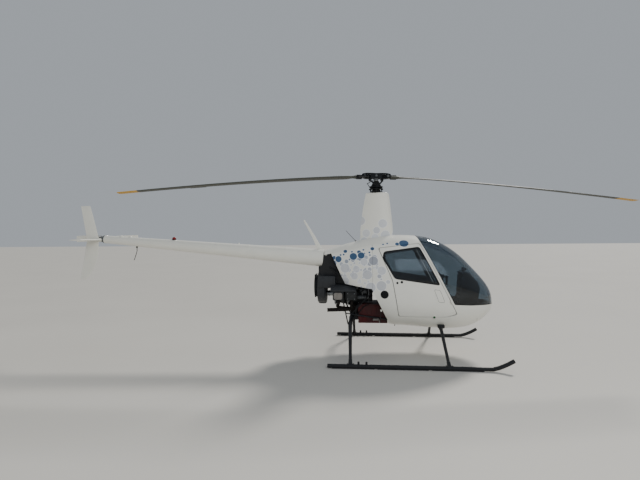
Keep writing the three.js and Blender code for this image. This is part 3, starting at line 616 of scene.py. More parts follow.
ENAMEL = dict(slot="white_paint", tones=("enamel",), shade=0.9, grain=180, rough=(0.24, 0.36), bump=0.012,
              bump_grain=9, Coat_Weight=0.35, Coat_Roughness=0.08)
LACQUER = dict(slot="console_cover", grain=1000 / 9, detail=3.0, rough=0.62, bump=0.10,
               relief=("ShaderNodeTexVoronoi", "Distance", {"Scale": 220.0}, {"feature": "SMOOTH_F1"}))
LENS = dict(slot="red_lamp", grain=20, rough=(0.08, 0.16), Transmission_Weight=0.55, IOR=1.49)

# One row for each finish: the record's slot, two tones or a user's colour and the shade of its dark tone, the
# grain in mm of the noise that mixes them and varies the roughness, the bump and its grain, and shader values
FINISHES = {
    # Sprayed aircraft enamel: a deep wet gloss over a very slight orange peel, a little dusty
    "polyurethane_enamel": ENAMEL,
    # The same enamel under vinyl discs: blue along the top, grey lower down
    "spotted_enamel": dict(ENAMEL, paint=lay_discs),
    # Charcoal cabin lining: needled felt with a dull, slightly hairy face. It also lines the inner faces of every
    # hull skin and covers the firewall; inside the cowls and on the firewall its dark is painted shade.
    "headliner": dict(slot="cabin_panel", tones=("#17181b", "#26282c"), grain=14, rough=(0.8, 0.95), bump=0.3,
                      bump_grain=3, Sheen_Weight=0.2),
    # Baked polyester powder on tube: an even satin black with a fine pebbled skin and grey dust
    "black_powder_coat": dict(slot="black_paint", tones=("tubes",), shade=0.35, grain=60, rough=(0.38, 0.56),
                              bump=0.12, bump_grain=2.5),
    # Cast acrylic sheet: a blue-grey tint, partly the acrylic's own and partly painted shade, so the cabin reads
    # dark behind it
    "cast_acrylic": dict(slot="tinted_glass", tones=("glazing",), grain=400, rough=(0.01, 0.05),
                         Transmission_Weight=1.0, IOR=1.49),
    # Turned and ground steel: bright, with a fine ring grain that breaks up the glints
    "turned_steel": dict(slot="bare_steel", tones=("#8d9093", "#b3b6b8"), grain=25, rough=(0.22, 0.42),
                         bump=0.05, bump_grain=1.5, Metallic=1.0),
    # Forged and phosphated steel: nearly black, oily in patches
    "forged_steel": dict(slot="dark_metal", tones=("#1c1d20", "#3b3d40"), grain=40, rough=(0.3, 0.6), bump=0.2,
                         bump_grain=4, Metallic=0.85),
    # Sand-cast aluminium: pale grey and grainy, dulled by heat and oil
    "cast_aluminium": dict(slot="alloy", tones=("#55575a", "#8c8f91"), grain=55, rough=(0.4, 0.62), bump=0.35,
                           bump_grain=3, Metallic=0.8),
    # Cylinder and crankcase castings under black heat-proof paint, with oil and dust in the fins. The near-black
    # is also painted shade from the cowl over them.
    "oiled_casting": dict(slot="alloy", tones=("#0f1011", "#3c3d3d"), grain=26, rough=(0.35, 0.7), bump=0.3,
                          bump_grain=3, Metallic=0.35),
    # Die-cast rocker covers left in the bare metal: warm grey, softly bright, browned by oil
    "rocker_cover": dict(slot="alloy", tones=("#74706c", "#a8a39e"), grain=30, rough=(0.28, 0.45), bump=0.1,
                         bump_grain=2, Metallic=0.9),
    # Rolled stainless sheet: a soft even shine with long rolling lines
    "stainless_sheet": dict(slot="alloy", tones=("#7d8082", "#a4a7a9"), grain=30, rough=(0.3, 0.46), bump=0.03,
                            stretch=(1.0, 14.0, 1.0), Metallic=1.0),
    # Embossed vinyl: charcoal, with a pore grain of about 2 mm and a low sheen on the crowns
    "vinyl_leather": dict(slot="seat_cover", tones=("seats",), shade=0.4, grain=1000 / 14, rough=0.55,
                          bump=0.3, relief=("ShaderNodeTexVoronoi", "Distance", {"Scale": 450.0}, {}),
                          Sheen_Weight=0.15),
    # Short loop-pile carpet: dark grey tufts of about 5 mm, with no gloss at all, and painted shade darkening the
    # gaps between the tufts
    "loop_carpet": dict(slot="floor_cover", tones=("#2f3033", "#17181a"), rough=0.95, bump=0.8, depth=0.003,
                        sunk=True, relief=("ShaderNodeTexVoronoi", "Distance", {"Scale": 200.0}, {}),
                        Sheen_Weight=0.3),
    # Crackle lacquer on the console, its dials and its hood, with a wrinkled skin of about 4 mm: matt black on the
    # console and dials, while the hood's lighter blue-grey is a painted reflection of the sky.
    "crackle_lacquer": dict(LACQUER, tones=("#0d0e10", "#232529")),
    "dial_black": dict(LACQUER, tones=("#060607", "#111214")),
    "hood_lacquer": dict(LACQUER, tones=("#353c44", "#56616c")),
    # Brushed-on cabin enamel: flat light grey, rubbed darker where feet and hands pass
    "interior_enamel": dict(slot="cabin_panel", tones=("#8f908c", "#b9bab4"), grain=120, rough=(0.45, 0.62),
                            bump=0.1, bump_grain=6),
    # Red baffle enamel near a hot engine: deep, dull and stained with oil
    "red_oxide_enamel": dict(slot="red_primer", tones=("#230607", "#511214"), grain=90, rough=(0.4, 0.7),
                             bump=0.15, bump_grain=5),
    # Hand-laid glass fibre under grey gelcoat: the 6 mm weave still shows in the gloss. Its near-black tones are
    # also painted shade, as the fan housing and the cylinder shrouds sit in the dark under the boom and the cowls.
    "glass_fibre": dict(slot="fan_housing", tones=("#1b1c1e", "#35373a"), grain=150, rough=(0.42, 0.6),
                        bump=0.10, relief=("ShaderNodeTexChecker", "Fac", {"Scale": 160.0}, {})),
    # Belt and seal rubber: matt black, chalky grey where it has been flexed
    "neoprene": dict(slot="belt_rubber", tones=("#0b0b0c", "#1f1f20"), grain=30, rough=(0.6, 0.85), bump=0.2,
                     bump_grain=2),
    # Mild steel scaled by exhaust heat: brown-black, dry and flaky
    "scaled_steel": dict(slot="pipe", tones=("#0d0c0b", "#2b2420"), grain=35, rough=(0.6, 0.9), bump=0.4,
                         bump_grain=4, Metallic=0.4),
    # Matt grey-olive erosion paint with bright yellow tips over the last 28 cm
    "erosion_paint": dict(slot="blade_paint", tones=("blades",), shade=0.5, grain=120, rough=(0.45, 0.65),
                          bump=0.05, bump_grain=4, paint=paint_tips),
    # Woven polyester belt: a herringbone of about 2 mm, soft and dull
    "webbing": dict(slot="seat_cover", tones=("#15161a", "#3a3c42"), rough=0.85, bump=0.3,
                    relief=("ShaderNodeTexWave", "Fac", {"Scale": 120.0, "Distortion": 1.5},
                            {"bands_direction": "DIAGONAL"}), Sheen_Weight=0.25),
    # Silk-screened dial white: flat and slightly warm
    "dial_paint": dict(slot="console_cover", tones=("#d9d7cc", "#efede4"), grain=10, rough=(0.5, 0.6)),
    # Moulded acrylic lenses: saturated and glassy, with a bright rim
    "red_lens": dict(LENS, tones=("#a3100c",)),
    "position_lens_left": dict(LENS, tones=("#a3100c",)),
    "position_lens_right": dict(LENS, tones=("#1f7a3a",)),
    # Matt seamless floor: a warm pale grey with a broad faint mottle
    "studio_floor": dict(slot="", tones=("#b9b6af", "#c3c0b9"), grain=2500, rough=(0.75, 0.9)),
}


def make_finish(name, slot, tones, rough, shade=1.0, grain=None, detail=4.0, bump=0.0, bump_grain=None,
                depth=0.001, sunk=False, stretch=None, relief=None, paint=None, **values):
    """Makes the material of one row. Without a grain the tones follow the relief."""
    material = bpy.data.materials.new(name)
    material.use_nodes = True
    tree = material.node_tree
    shader = tree.nodes["Principled BSDF"].inputs
    for key, value in values.items():
        shader[key.replace("_", " ")].default_value = value
    place = node(tree, "ShaderNodeTexCoord").outputs["Object"]
    if stretch:
        place = node(tree, "ShaderNodeMapping", {"Vector": place, "Scale": stretch}).outputs[0]
    if grain:
        inputs = {"Vector": place, "Scale": 1000 / grain, "Detail": detail}
        pattern = node(tree, "ShaderNodeTexNoise", inputs).outputs[0]
    if relief:
        kind, output, inputs, settings = relief
        height = node(tree, kind, {"Vector": place, **inputs}, **settings).outputs[output]
        pattern = pattern if grain else height
    elif bump_grain:
        inputs = {"Vector": place, "Scale": 1000 / bump_grain, "Detail": 3.0}
        height = node(tree, "ShaderNodeTexNoise", inputs).outputs[0]
    else:
        height = pattern
    if isinstance(rough, tuple):
        inputs = {"Value": pattern, "To Min": rough[0], "To Max": rough[1]}
        rough = node(tree, "ShaderNodeMapRange", inputs).outputs[0]
    plug(tree, shader["Roughness"], rough)
    if bump:
        lift = node(tree, "ShaderNodeBump", {"Height": height, "Strength": bump, "Distance": depth}, invert=sunk)
        plug(tree, shader["Normal"], lift.outputs["Normal"])
    colour, light = tone(tones[0], shade), tone(tones[-1])
    if colour != light:
        colour = node(tree, "ShaderNodeMix", {"Factor": pattern, 6: colour, 7: light}, data_type="RGBA").outputs[2]
    plug(tree, shader["Base Color"], paint(tree, colour) if paint else colour)
    return material


made_finishes = {}


def finish(name):
    """Makes each material once and hands it out again."""
    if name not in made_finishes:
        made_finishes[name] = make_finish(name, **FINISHES[name])
    return made_finishes[name]


# Cabin skins
SEAM = 1.5
DOOR_SKIN = 10.0
DOOR_DEPTH = 26.0
BOW_HALF = 14.0


def flip_side(form, side):
    """Turns a form made for the left side into the right one."""
    if side == RIGHT:
        form.transform(Matrix.Scale(-1, 4, (0, 1, 0)))
        bmesh.ops.reverse_faces(form, faces=form.faces)
    return form


def line_on_hull(points, side, inset=0.0, step=15.0):
    """A path on the hull along straight runs of a side outline."""
    path = []
    for start, end in zip(points, points[1:]):
        start, end = Vector(start), Vector(end)
        count = max(1, round((end - start).length / step))
        path += [start.lerp(end, k / count) for k in range(count)]
    path.append(Vector(points[-1]))
    return [on_hull(p.x, p.y, side, inset) for p in path]


def loop_on_hull(outline, side, inset, radius):
    """A closed path on the hull round a side outline with round corners."""
    corners = round_corners(outline, radius)
    return line_on_hull(corners + corners[:1], side, inset, 18.0)[:-1]


def make_skin(name, form, finishes="spotted_enamel headliner", **details):
    return make_piece(name, form, finishes, on_skin=True, wrap=wrap_hull, **details)


def build_cabin_shell(sizes):
    ahead = block((COWL_SEAM_X, -WIDE, 0), (2000, WIDE, 2000))
    tube_hole = bmesh.new()
    add_bar(tube_hole, cross_tube_path(FRONT_TUBE), FRONT_TUBE["radius"] + 6, sides=24)
    cuts = [slab(grow(ROOF, SEAM)), slab(grow(WINDSHIELD, SEAM)), slab(ENGINE_BAY),
            slab(DOOR_OPENING, radius=30), tube_hole]
    make_skin("cabin_skin", hull_panel([ahead], cuts, thickness=sizes.wall * 1000), stands_for=["cabin_shell"])

    trim = bmesh.new()
    for side in BOTH:
        add_bar(trim, loop_on_hull(grow(DOOR_OPENING, 8), side, 26, 30), 5, sides=8, loop=True)
    make_piece("door_seals", trim, "neoprene")


def build_roof(sizes):
    mast_hole = bmesh.new()
    add_turned(mast_hole, rod(60, 0, 400), (0, 0, 1500))
    bmesh.ops.recalc_face_normals(mast_hole, faces=mast_hole.faces)
    form = hull_panel([slab(ROOF)], [slab(grow(WINDSHIELD, SEAM)), mast_hole], thickness=sizes.wall * 500)
    make_skin("roof_skin", form, stands_for=["roof_fairing"])


def build_cowls(sizes):
    for side, name in SIDES:
        behind = block((-774, SEAM, 900), (COWL_SEAM_X - SEAM * 2, WIDE, 1700))
        form = hull_panel([behind], [slab(grow(ROOF, SEAM)), slab(ENGINE_BAY)], thickness=sizes.wall * 300)
        add_bar(form, line_on_hull(((-90, 985), (-455, 1034), (-655, 1440)), LEFT, 9), 5, sides=8)
        # The cowls' inner faces take the dark lining as painted shade
        make_skin(f"cowl_skin_{name}", flip_side(form, side), stands_for=[f"cowl_{name}"])


def build_windshields(sizes):
    for side, name in SIDES:
        half = block((0, BOW_HALF - 4, 0), (2000, WIDE, 2000))
        form = hull_panel([slab(WINDSHIELD), half], inset=2.0, thickness=sizes.acrylic * 1000)
        make_piece(f"windshield_pane_{name}", flip_side(form, side), "cast_acrylic",
                   stands_for=[f"windshield_{name}"], on_skin=True)
    strip = block((0, -BOW_HALF, 0), (2000, BOW_HALF, 2000))
    bow = hull_panel([slab(WINDSHIELD), strip], inset=-1.0, thickness=16)
    make_piece("windshield_centre_bow", bow, "black_powder_coat", stands_for=["windshield_bow"])
    gasket = bmesh.new()
    edge = (560, 1694), (1038, 764), (1258, 747), (1547, 739), (1622, 739)
    for side in BOTH:
        add_bar(gasket, line_on_hull(edge, side, 1.5), 4, sides=8)
    make_piece("windshield_gasket", gasket, "neoprene")


def build_door(sizes, side, name):
    body = f"door_{name}"
    gap = sizes.door_gap * 1000
    skin = hull_panel([slab(grow(DOOR_LEAF, -gap), 1, WIDE, 36)], [slab(DOOR_WINDOW, radius=34)],
                      thickness=DOOR_SKIN)
    frame_run = slab(grow(DOOR_LEAF, -gap - 17), 1, WIDE, 30)
    inner = hull_panel([frame_run], [slab(grow(DOOR_WINDOW, -26), radius=24)], inset=DOOR_SKIN - 0.5,
                       thickness=DOOR_DEPTH - DOOR_SKIN)
    make_skin(f"door_skin_{name}", flip_side(skin, side), body=body, stands_for=[body])
    for start, end in (((300, 640), (1000, 650)), ((262, 830), (960, 850))):
        add_bar(inner, line_on_hull((start, end), LEFT, DOOR_DEPTH), 7, sides=10)
    make_piece(f"door_lining_{name}", flip_side(inner, side), "headliner", body, on_skin=True)

    pane = hull_panel([slab(grow(DOOR_WINDOW, -1), 1, WIDE, 34)], inset=4.0, thickness=4.0)
    make_piece(f"door_pane_{name}", flip_side(pane, side), "cast_acrylic", body, [f"door_glass_{name}"],
               on_skin=True)

    fittings = bmesh.new()
    for inset in (1.5, DOOR_DEPTH - 2):
        add_bar(fittings, loop_on_hull(DOOR_WINDOW, LEFT, inset, 34), 5, sides=8, loop=True)
    # columns: station, height, radius, stand-off
    for x, z, radius, proud in ((266, 1061, 15, 9), (326, 1072, 17, 12)):
        spot = on_hull(x, z, LEFT)
        knob = ((0, -4), (radius, -4), (radius, 2), (radius * 0.62, 4), (radius * 0.62, proud - 4),
                (radius * 0.8, proud - 2), (radius * 0.6, proud), (0, proud))
        add_turned(fittings, knob, spot, hull_shade.normal(spot), steps=24)
    lever = line_on_hull(((300, 1010), (420, 1022)), LEFT, DOOR_DEPTH + 14)
    add_bar(fittings, lever, 8, sides=12)
    add_bar(fittings, (lever[0], on_hull(300, 1010, LEFT, DOOR_DEPTH)), 6, sides=10)
    make_piece(f"door_fittings_{name}", flip_side(fittings, side), "neoprene", body)

    # Outline of the pressed pocket low on the door
    pocket = bmesh.new()
    edge = loop_on_hull(((756, 972), (838, 962), (902, 796), (820, 800)), LEFT, 0, 24)
    add_bar(pocket, edge, 1.8, sides=6, loop=True)
    make_piece(f"door_pocket_{name}", flip_side(pocket, side), "forged_steel", body)


HINGE_HEIGHTS = (800, 1150)
HINGE_Y = 552.0
KNUCKLE_LENGTH = 24.0


def build_hinges():
    """Hinges of two knuckles on the raked seam ahead of each door; each leaf rides on its own side of the pin."""
    foot, head = (Vector((x, 0, z)) for x, z in (DOOR[0], DOOR[-1]))
    run = (head - foot).normalized()
    aft = Vector((-run.z, 0, run.x))
    wide = run * (KNUCKLE_LENGTH / 2)
    # columns: body, start and end along the pin, reach of the leaf
    leaves = (("airframe", -KNUCKLE_LENGTH - 0.3, -0.3, -17), ("door", 0.0, KNUCKLE_LENGTH, 20))
    for side, name in SIDES:
        for owner, start, end, reach in leaves:
            form = bmesh.new()
            for height in HINGE_HEIGHTS:
                pin = foot + run * ((height - foot.z) / run.z) + aft * 3.75 + Vector((0, HINGE_Y, 0))
                add_bar(form, (pin + run * start, pin + run * end), 6, sides=20)
                middle = pin + run * ((start + end) / 2)
                pad = middle + aft * reach
                pad.y = hull_side(pad.x, pad.z) - 2
                add_bar(form, (middle - wide, middle + wide), 3, sides=8)
                add_bar(form, (middle, pad), KNUCKLE_LENGTH / 2, sides=12, flat=0.2, up=run.cross(pad - middle))
            body = f"door_{name}" if owner == "door" else "airframe"
            make_piece(f"hinge_{owner}_{name}", flip_side(form, side), "polyurethane_enamel", body)


# Landing gear
SKID = dict(y=965, radius=26, shoe=5, tail=-660, bend=1437, tip=1676, tip_z=140)
FRONT_TUBE = dict(x=856, foot_x=881, z=430, elbow_y=470, radius=23, leg=19)
REAR_TUBE = dict(x=-375, foot_x=-366, z=525, elbow_y=690, radius=27, leg=19)


def cross_tube_path(tube):
    """Centre line of a cross tube from one skid to the other, with its bends rounded."""
    foot = Vector((tube["foot_x"], SKID["y"], SKID["shoe"] + SKID["radius"]))
    elbow = Vector((tube["x"], tube["elbow_y"], tube["z"]))
    half = [elbow.lerp(foot, t) for t in (1.0, 0.7, 0.4, 0.18)]
    start, end = elbow.lerp(foot, 0.12), elbow - Vector((0, 60, 0))
    half += [start.lerp(elbow, t).lerp(elbow.lerp(end, t), t) for t in (0, 0.2, 0.4, 0.6, 0.8, 1)]
    half.append(Vector((tube["x"], 0, tube["z"])))
    return half + [Vector((p.x, -p.y, p.z)) for p in reversed(half[:-1])]


def build_cross_tube(tube, name, node_name):
    path = cross_tube_path(tube)
    radii = []
    for p in path:
        share = min(max((abs(p.y) - tube["elbow_y"]) / (SKID["y"] - tube["elbow_y"]), 0), 1)
        radii.append(tube["radius"] + share * (tube["leg"] - tube["radius"]))
    form = bmesh.new()
    add_bar(form, path, radii, sides=28)
    long = Vector((46, 0, 0))
    for side, foot, knee in ((LEFT, *path[:2]), (RIGHT, *path[:-3:-1])):
        rise = (knee - foot).normalized()
        # Saddle casting and its clamp over the skid
        for low, high, wide in ((20, 88, 4), (88, 96, 1)):
            add_bar(form, (foot + rise * low, foot + rise * high), [tube["leg"] + wide + 5, tube["leg"] + wide],
                    sides=24)
        clamp = foot - Vector((0, side * 5.5, 0))
        add_bar(form, (clamp - long, clamp + long), SKID["radius"] + 5, sides=24)
        for dx in (-38, 38):
            for dy in (-30, 18):
                add_head(form, 7, 12, 2, foot + Vector((dx, side * dy, 16)))
        elbow = Vector((tube["x"], side * tube["elbow_y"], tube["z"]))
        collar = [elbow - Vector((0, side * reach, 0)) for reach in (28, 10)]
        add_bar(form, collar, tube["radius"] + 4, sides=28)
    make_piece(name, form, "black_powder_coat", stands_for=[node_name], bevel=1.0)


def build_skids():
    y, radius = SKID["y"], SKID["radius"]
    centre = SKID["shoe"] + radius
    line = ((SKID["tail"], centre), (200, centre), (SKID["bend"] - 160, centre), (SKID["bend"], centre + 8),
            (1560, centre + 53), (SKID["tip"] - 12, SKID["tip_z"]))
    path = smooth_path([(x, y, z) for x, z in line], 10)
    for side, name in SIDES:
        form = bmesh.new()
        add_bar(form, path, radius, sides=28)
        add_turned(form, ((0, -3), (20, -3), (radius - 2, 0), (0, 6)), path[-1], path[-1] - path[-2])
        add_turned(form, ((0, 6), (radius - 2, 0), (18, -4), (0, -5)), path[0], (1, 0, 0))
        # Wear shoes in three lengths, with their heads
        for start, end, heads in ((-600, -60, 4), (-20, 620, 5), (660, 1300, 5)):
            add_box(form, (start, y - 18, 0), (end, y + 18, 12), 3)
            for k in range(heads + 1):
                x = start + 40 + (end - start - 80) * k / heads
                add_head(form, 6, 3, 1, (x, y, 2 * radius + SKID["shoe"] - 1), top=5, steps=10)
        # Lugs for the ground handling wheels
        for x in (-261, -160):
            add_slab(form, plate(x - 14, 26, x + 14, 92, 10, 5), y - 10, y + 10)
            add_turned(form, rod(8, -12, 12), (x, y, 76), (0, 1, 0), steps=20)
        make_piece(f"skid_tube_{name}", flip_side(form, side), "black_powder_coat", stands_for=[f"skid_{name}"])


# Mast and main rotor
# columns: z, leading x, trailing x, width
FAIRING = (
    (1560, 252, -272, 230),
    (1708, 245, -252, 220),
    (1900, 233, -226, 208),
    (2104, 212, -199, 190),
    (2290, 190, -162, 172),
    (2350, 168, -150, 150),
)
MAST_TOP = 2398.0
SLEEVE_FOOT = 1600.3
TEETER_Z = 2598.0
PARK = Matrix.Rotation(radians(6), 4, "Z")
HEAD = Matrix.Translation((0, 0, TEETER_Z)) @ PARK @ Matrix.Rotation(radians(1.3), 4, "Y")


def foil(u, leading, trailing, half_thickness):
    """A point round an aerofoil section."""
    along = (1 - cos(2 * pi * u)) / 2
    bulge = copysign(2.6 * sqrt(along) * (1.02 - along), sin(2 * pi * u))
    return Vector(leading).lerp(Vector(trailing), along) + Vector(half_thickness) * bulge


def fairing_point(u, v):
    """A point of the mast fairing, which flares into the roof and rounds over at its top."""
    rise = min(v / 0.97, 1.0)
    z, front, back, width = between(FAIRING, (len(FAIRING) - 1) * (0.12 + 0.88 * rise))
    close = max(v - 0.97, 0.0) / 0.03
    shrink = 26 * (1 - sqrt(max(1 - close * close, 0.0)))
    flare = 16 * exp(-rise * 22)
    p = foil(u, (front - shrink + flare, 0, 0), (back + shrink - flare, 0, 0),
             (0, max(width / 2 - shrink + flare * 0.6, 1), 0))
    p.z = z - 14 * (1 - close) if v > 0.9 else z
    foot = hull_height(p.x, p.y) - 1
    if rise < 0.2:
        p.z = foot + (p.z - foot) * rise
    p.z = max(p.z, foot)
    return p


def build_mast():
    form = bmesh.new()
    add_skin(form, 96, 90, fairing_point, caps=False)
    rim = [edge for edge in form.edges if edge.is_boundary]
    bmesh.ops.holes_fill(form, edges=[e for e in rim if e.verts[0].co.z > 2200])
    for x in (236, 120, 0, -120, -236):
        for side in BOTH:
            at = Vector((x * 1.12, side * 129.6 * sqrt(max(1 - (x / 262) ** 2, 0.05)), 0))
            at.z = hull_height(at.x, at.y)
            add_turned(form, ((0, -3), (5, -3), (5, 1), (3, 2.4), (0, 3)), at, steps=8)
    make_piece("fairing_shell", form, "spotted_enamel", stands_for=["mast_fairing"], wrap=wrap_fairing)

    sleeve = bmesh.new()
    wall = ((33, SLEEVE_FOOT), (42, SLEEVE_FOOT), (42, 2340), (47, 2346), (47, MAST_TOP - 12), (42, MAST_TOP - 4),
            (42, MAST_TOP), (33, MAST_TOP), (33, SLEEVE_FOOT))
    add_turned(sleeve, wall)
    add_turned(sleeve, ((48, 2366), (56, 2368), (56, 2380), (48, 2382), (48, 2366)))
    make_piece("mast_sleeve", sleeve, "black_powder_coat", stands_for=["mast_tube"])

    swash = bmesh.new()
    low = MAST_TOP + 0.5
    disc = ((34, 0), (80, 0), (94, 4), (96, 12), (90, 19), (34, 19.5), (34, 0))
    add_turned(swash, [(r, low + z) for r, z in disc], steps=64)
    for turn in (30, 150, 270):
        spoke = Matrix.Rotation(radians(turn), 3, "Z")
        arm = ((70, low + 9), (112, low + 7)), ((104, low + 6), (92, 2352))
        for (start, end), radius, sides in zip(arm, (9, 6), (16, 12)):
            add_bar(swash, [spoke @ Vector((r, 0, z)) for r, z in (start, end)], radius, sides=sides)
        add_turned(swash, ((0, -12), (11, -12), (13, 0), (11, 12), (0, 12)), spoke @ Vector((105, 0, low + 6)),
                   spoke @ Vector((0, 1, 0)), steps=20)
    # A rubber cone round the sleeve between the fairing and the plate
    cone = [(52 + 27 * (1 - k / 8) + 4 * (k % 2), 2349 + k * 6) for k in range(9)]
    add_turned(swash, [(44, 2349), *cone, (44, 2397), (44, 2349)], mat=1, steps=56)
    for turn in (-15, 95, 205):
        spoke = Matrix.Rotation(radians(turn), 3, "Z")
        add_bar(swash, [spoke @ Vector(p) for p in ((88, 0, 2352), (84, 0, 2392))], 8, sides=14)
        add_turned(swash, rod(13, 0, 14), spoke @ Vector((84, 0, 2388)), steps=20)
    make_piece("swashplate_lower", swash, "forged_steel neoprene", stands_for=["swashplate"])

    gearbox = bmesh.new()
    body = ((0, 1330), (78, 1330), (84, 1338), (84, 1352), (104, 1360), (104, 1378), (98, 1384), (92, 1500),
            (100, 1508), (100, 1524), (90, 1532), (84, 1570), (78, 1600), (0, 1600))
    add_turned(gearbox, body)
    for reach in circle(10, 1, "z"):
        add_bar(gearbox, [reach * r + Vector((0, 0, z)) for r, z in ((90, 1384), (88, 1508))], 6, sides=8)
        add_head(gearbox, 7, 6, 1, reach * 97 + Vector((0, 0, 1524)))
    make_piece("gearbox_casing", gearbox, "cast_aluminium", stands_for=["main_gearbox"])


def add_nut(form, spot, axis, radius=14, height=10):
    """A hexagon nut on its washer, with the bolt's end showing."""
    add_turned(form, rod(radius * 1.35, 0, 2), spot, axis, steps=24)
    body = ((0, 2), (radius, 2), (radius * 1.02, height * 0.8), (radius * 0.86, height), (0, height))
    add_turned(form, body, spot, axis, steps=6)
    thread = ((0, height), (radius * 0.55, height), (radius * 0.5, height + 4), (0, height + 4.5))
    add_turned(form, thread, spot, axis, steps=16)


def build_rotor_head():
    shaft = bmesh.new()
    neck = TEETER_Z - 56
    post = ((0, 1600.5), (25, 1600.5), (25, neck - 18), (30, neck - 8), (30, neck), (0, neck))
    add_turned(shaft, post)
    add_slab(shaft, plate(-30, TEETER_Z - 60, 30, TEETER_Z + 24, 12, 5), -23, 23)
    shaft.transform(PARK)
    make_piece("rotor_shaft_post", shaft, "turned_steel", "main_rotor", ["rotor_shaft"], bevel=1.0)

    bolt = bmesh.new()
    add_turned(bolt, rod(11.8, -60, 60), (0, 0, TEETER_Z), (0, 1, 0), steps=32)
    for side in BOTH:
        add_nut(bolt, (0, side * 55.5, TEETER_Z), (0, side, 0), radius=13, height=8)
    bolt.transform(PARK)
    make_piece("teeter_bolt", bolt, "cast_aluminium", "main_rotor")

    boot = bmesh.new()
    low = MAST_TOP + 45
    folds = [(74 - 38 * k / 12 + 5 * (k % 2), low + k * 6.6) for k in range(13)]
    add_turned(boot, [(26, low), *folds, (26, folds[-1][1]), (26, low)])
    make_piece("mast_boot", boot, "neoprene", "main_rotor")

    ring = bmesh.new()
    base = MAST_TOP + 25
    rim = ((25.5, 0), (94, 0), (103, 5), (104, 12), (97, 19.5), (25.5, 19.5), (25.5, 0))
    add_turned(ring, [(r, base + z) for r, z in rim], steps=64)
    for side in BOTH:
        lug = plate(-22, 62, 22, 128, 14, 6)
        add_slab(ring, [(p.x, p.y * side) for p in lug], base + 1, base + 17, plane="xy")
        low = Vector((side * 4, side * 112, base + 10))
        high = Vector((side * 112, side * 112, TEETER_Z - 62))
        add_bar(ring, [low.lerp(high, t) for t in (0, 0.12, 0.16, 0.5, 0.56, 0.84, 0.88, 1)],
                [6, 6, 8, 8, 12, 12, 7, 7], sides=20)
        for end in (low, high):
            add_turned(ring, ((0, -9), (9, -9), (13, -4), (13, 4), (9, 9), (0, 9)), end, (0, 1, 0), steps=24)
        for t in (0.18, 0.80):
            add_bar(ring, (low.lerp(high, t), low.lerp(high, t + 0.03)), 10, sides=6)
    ring.transform(PARK)
    make_piece("pitch_ring_and_links", ring, "forged_steel", "main_rotor", ["pitch_ring"], bevel=0.8)

    scissors = bmesh.new()
    elbow = (-128, 0, base + 62)
    for end in ((-98, 0, base + 10), (-34, 0, base + 118)):
        add_bar(scissors, (elbow, end), 7, sides=14, flat=0.6)
    add_turned(scissors, rod(9, -16, 16), elbow, (0, 1, 0), steps=20)
    add_turned(scissors, tube(26, 36, -10, 10), (0, 0, base + 118), steps=32)
    scissors.transform(PARK)
    make_piece("drive_scissors", scissors, "cast_aluminium", "main_rotor")

    hub = bmesh.new()
    bolts = bmesh.new()
    cheek = round_corners(((-212, -30), (-150, -44), (-60, -44), (0, -38), (60, -44), (150, -44), (212, -30),
                           (212, 26), (150, 40), (60, 40), (0, 36), (-60, 40), (-150, 40), (-212, 26)), 12, 4)
    end = round_corners(((80, -40), (211, -34), (211, 30), (80, 38)), 16, 5)
    stop = round_corners(((62, -38), (112, -38), (104, -78), (76, -78)), 7, 4)
    for side in BOTH:
        add_slab(hub, cheek, side * 42 - 12, side * 42 + 12)
        add_slab(hub, [(p.x * side, p.y) for p in end], -54, 54)
        for face in BOTH:
            add_slab(hub, [(p.x * side, p.y) for p in stop], face * 15, face * 34)
            add_head(hub, 25, 5, 0, (side * 172, face * 53.5, -4), (0, face, 0), top=24, steps=40)
            add_nut(bolts, (side * 172, face * 58, -4), (0, face, 0), radius=13, height=8)
            for x in (96, 128):
                add_head(bolts, 7, 5, 1, (side * x, face * 54, 18), (0, face, 0), top=6)
    hub.transform(HEAD)
    make_piece("teetering_hub", hub, "forged_steel", "rotor_head", ["rotor_hub"], bevel=1.5)
    bolts.transform(HEAD)
    make_piece("coning_bolts", bolts, "cast_aluminium", "rotor_head")


# columns: radius, chord, thickness, pitch in degrees
BLADE = (
    (212, 78, 60, 0),
    (300, 84, 52, 0),
    (360, 120, 34, 6),
    (470, 183, 26, 8),
    (900, 183, 24, 7.3),
    (1500, 183, 23, 6.1),
    (2100, 183, 22, 4.8),
    (2800, 183, 21, 3.4),
    (3400, 183, 20, 2.3),
    (3835, 183, 20, 1.6),
)
BLADE_DROOP = 290
CHORD = 183


def blade_point(r, chord, thickness, pitch, u):
    tilt = radians(pitch)
    forward = Vector((0, cos(tilt), sin(tilt)))
    across = Vector((0, -sin(tilt), cos(tilt)))
    share = max((r - BLADE[0][0]) / (BLADE[-1][0] - BLADE[0][0]), 0.0)
    axis = Vector((r, 0, -BLADE_DROOP * share ** 1.4 - 18))
    return foil(u, axis + forward * chord * 0.3, axis - forward * chord * 0.7, across * (thickness / 2))


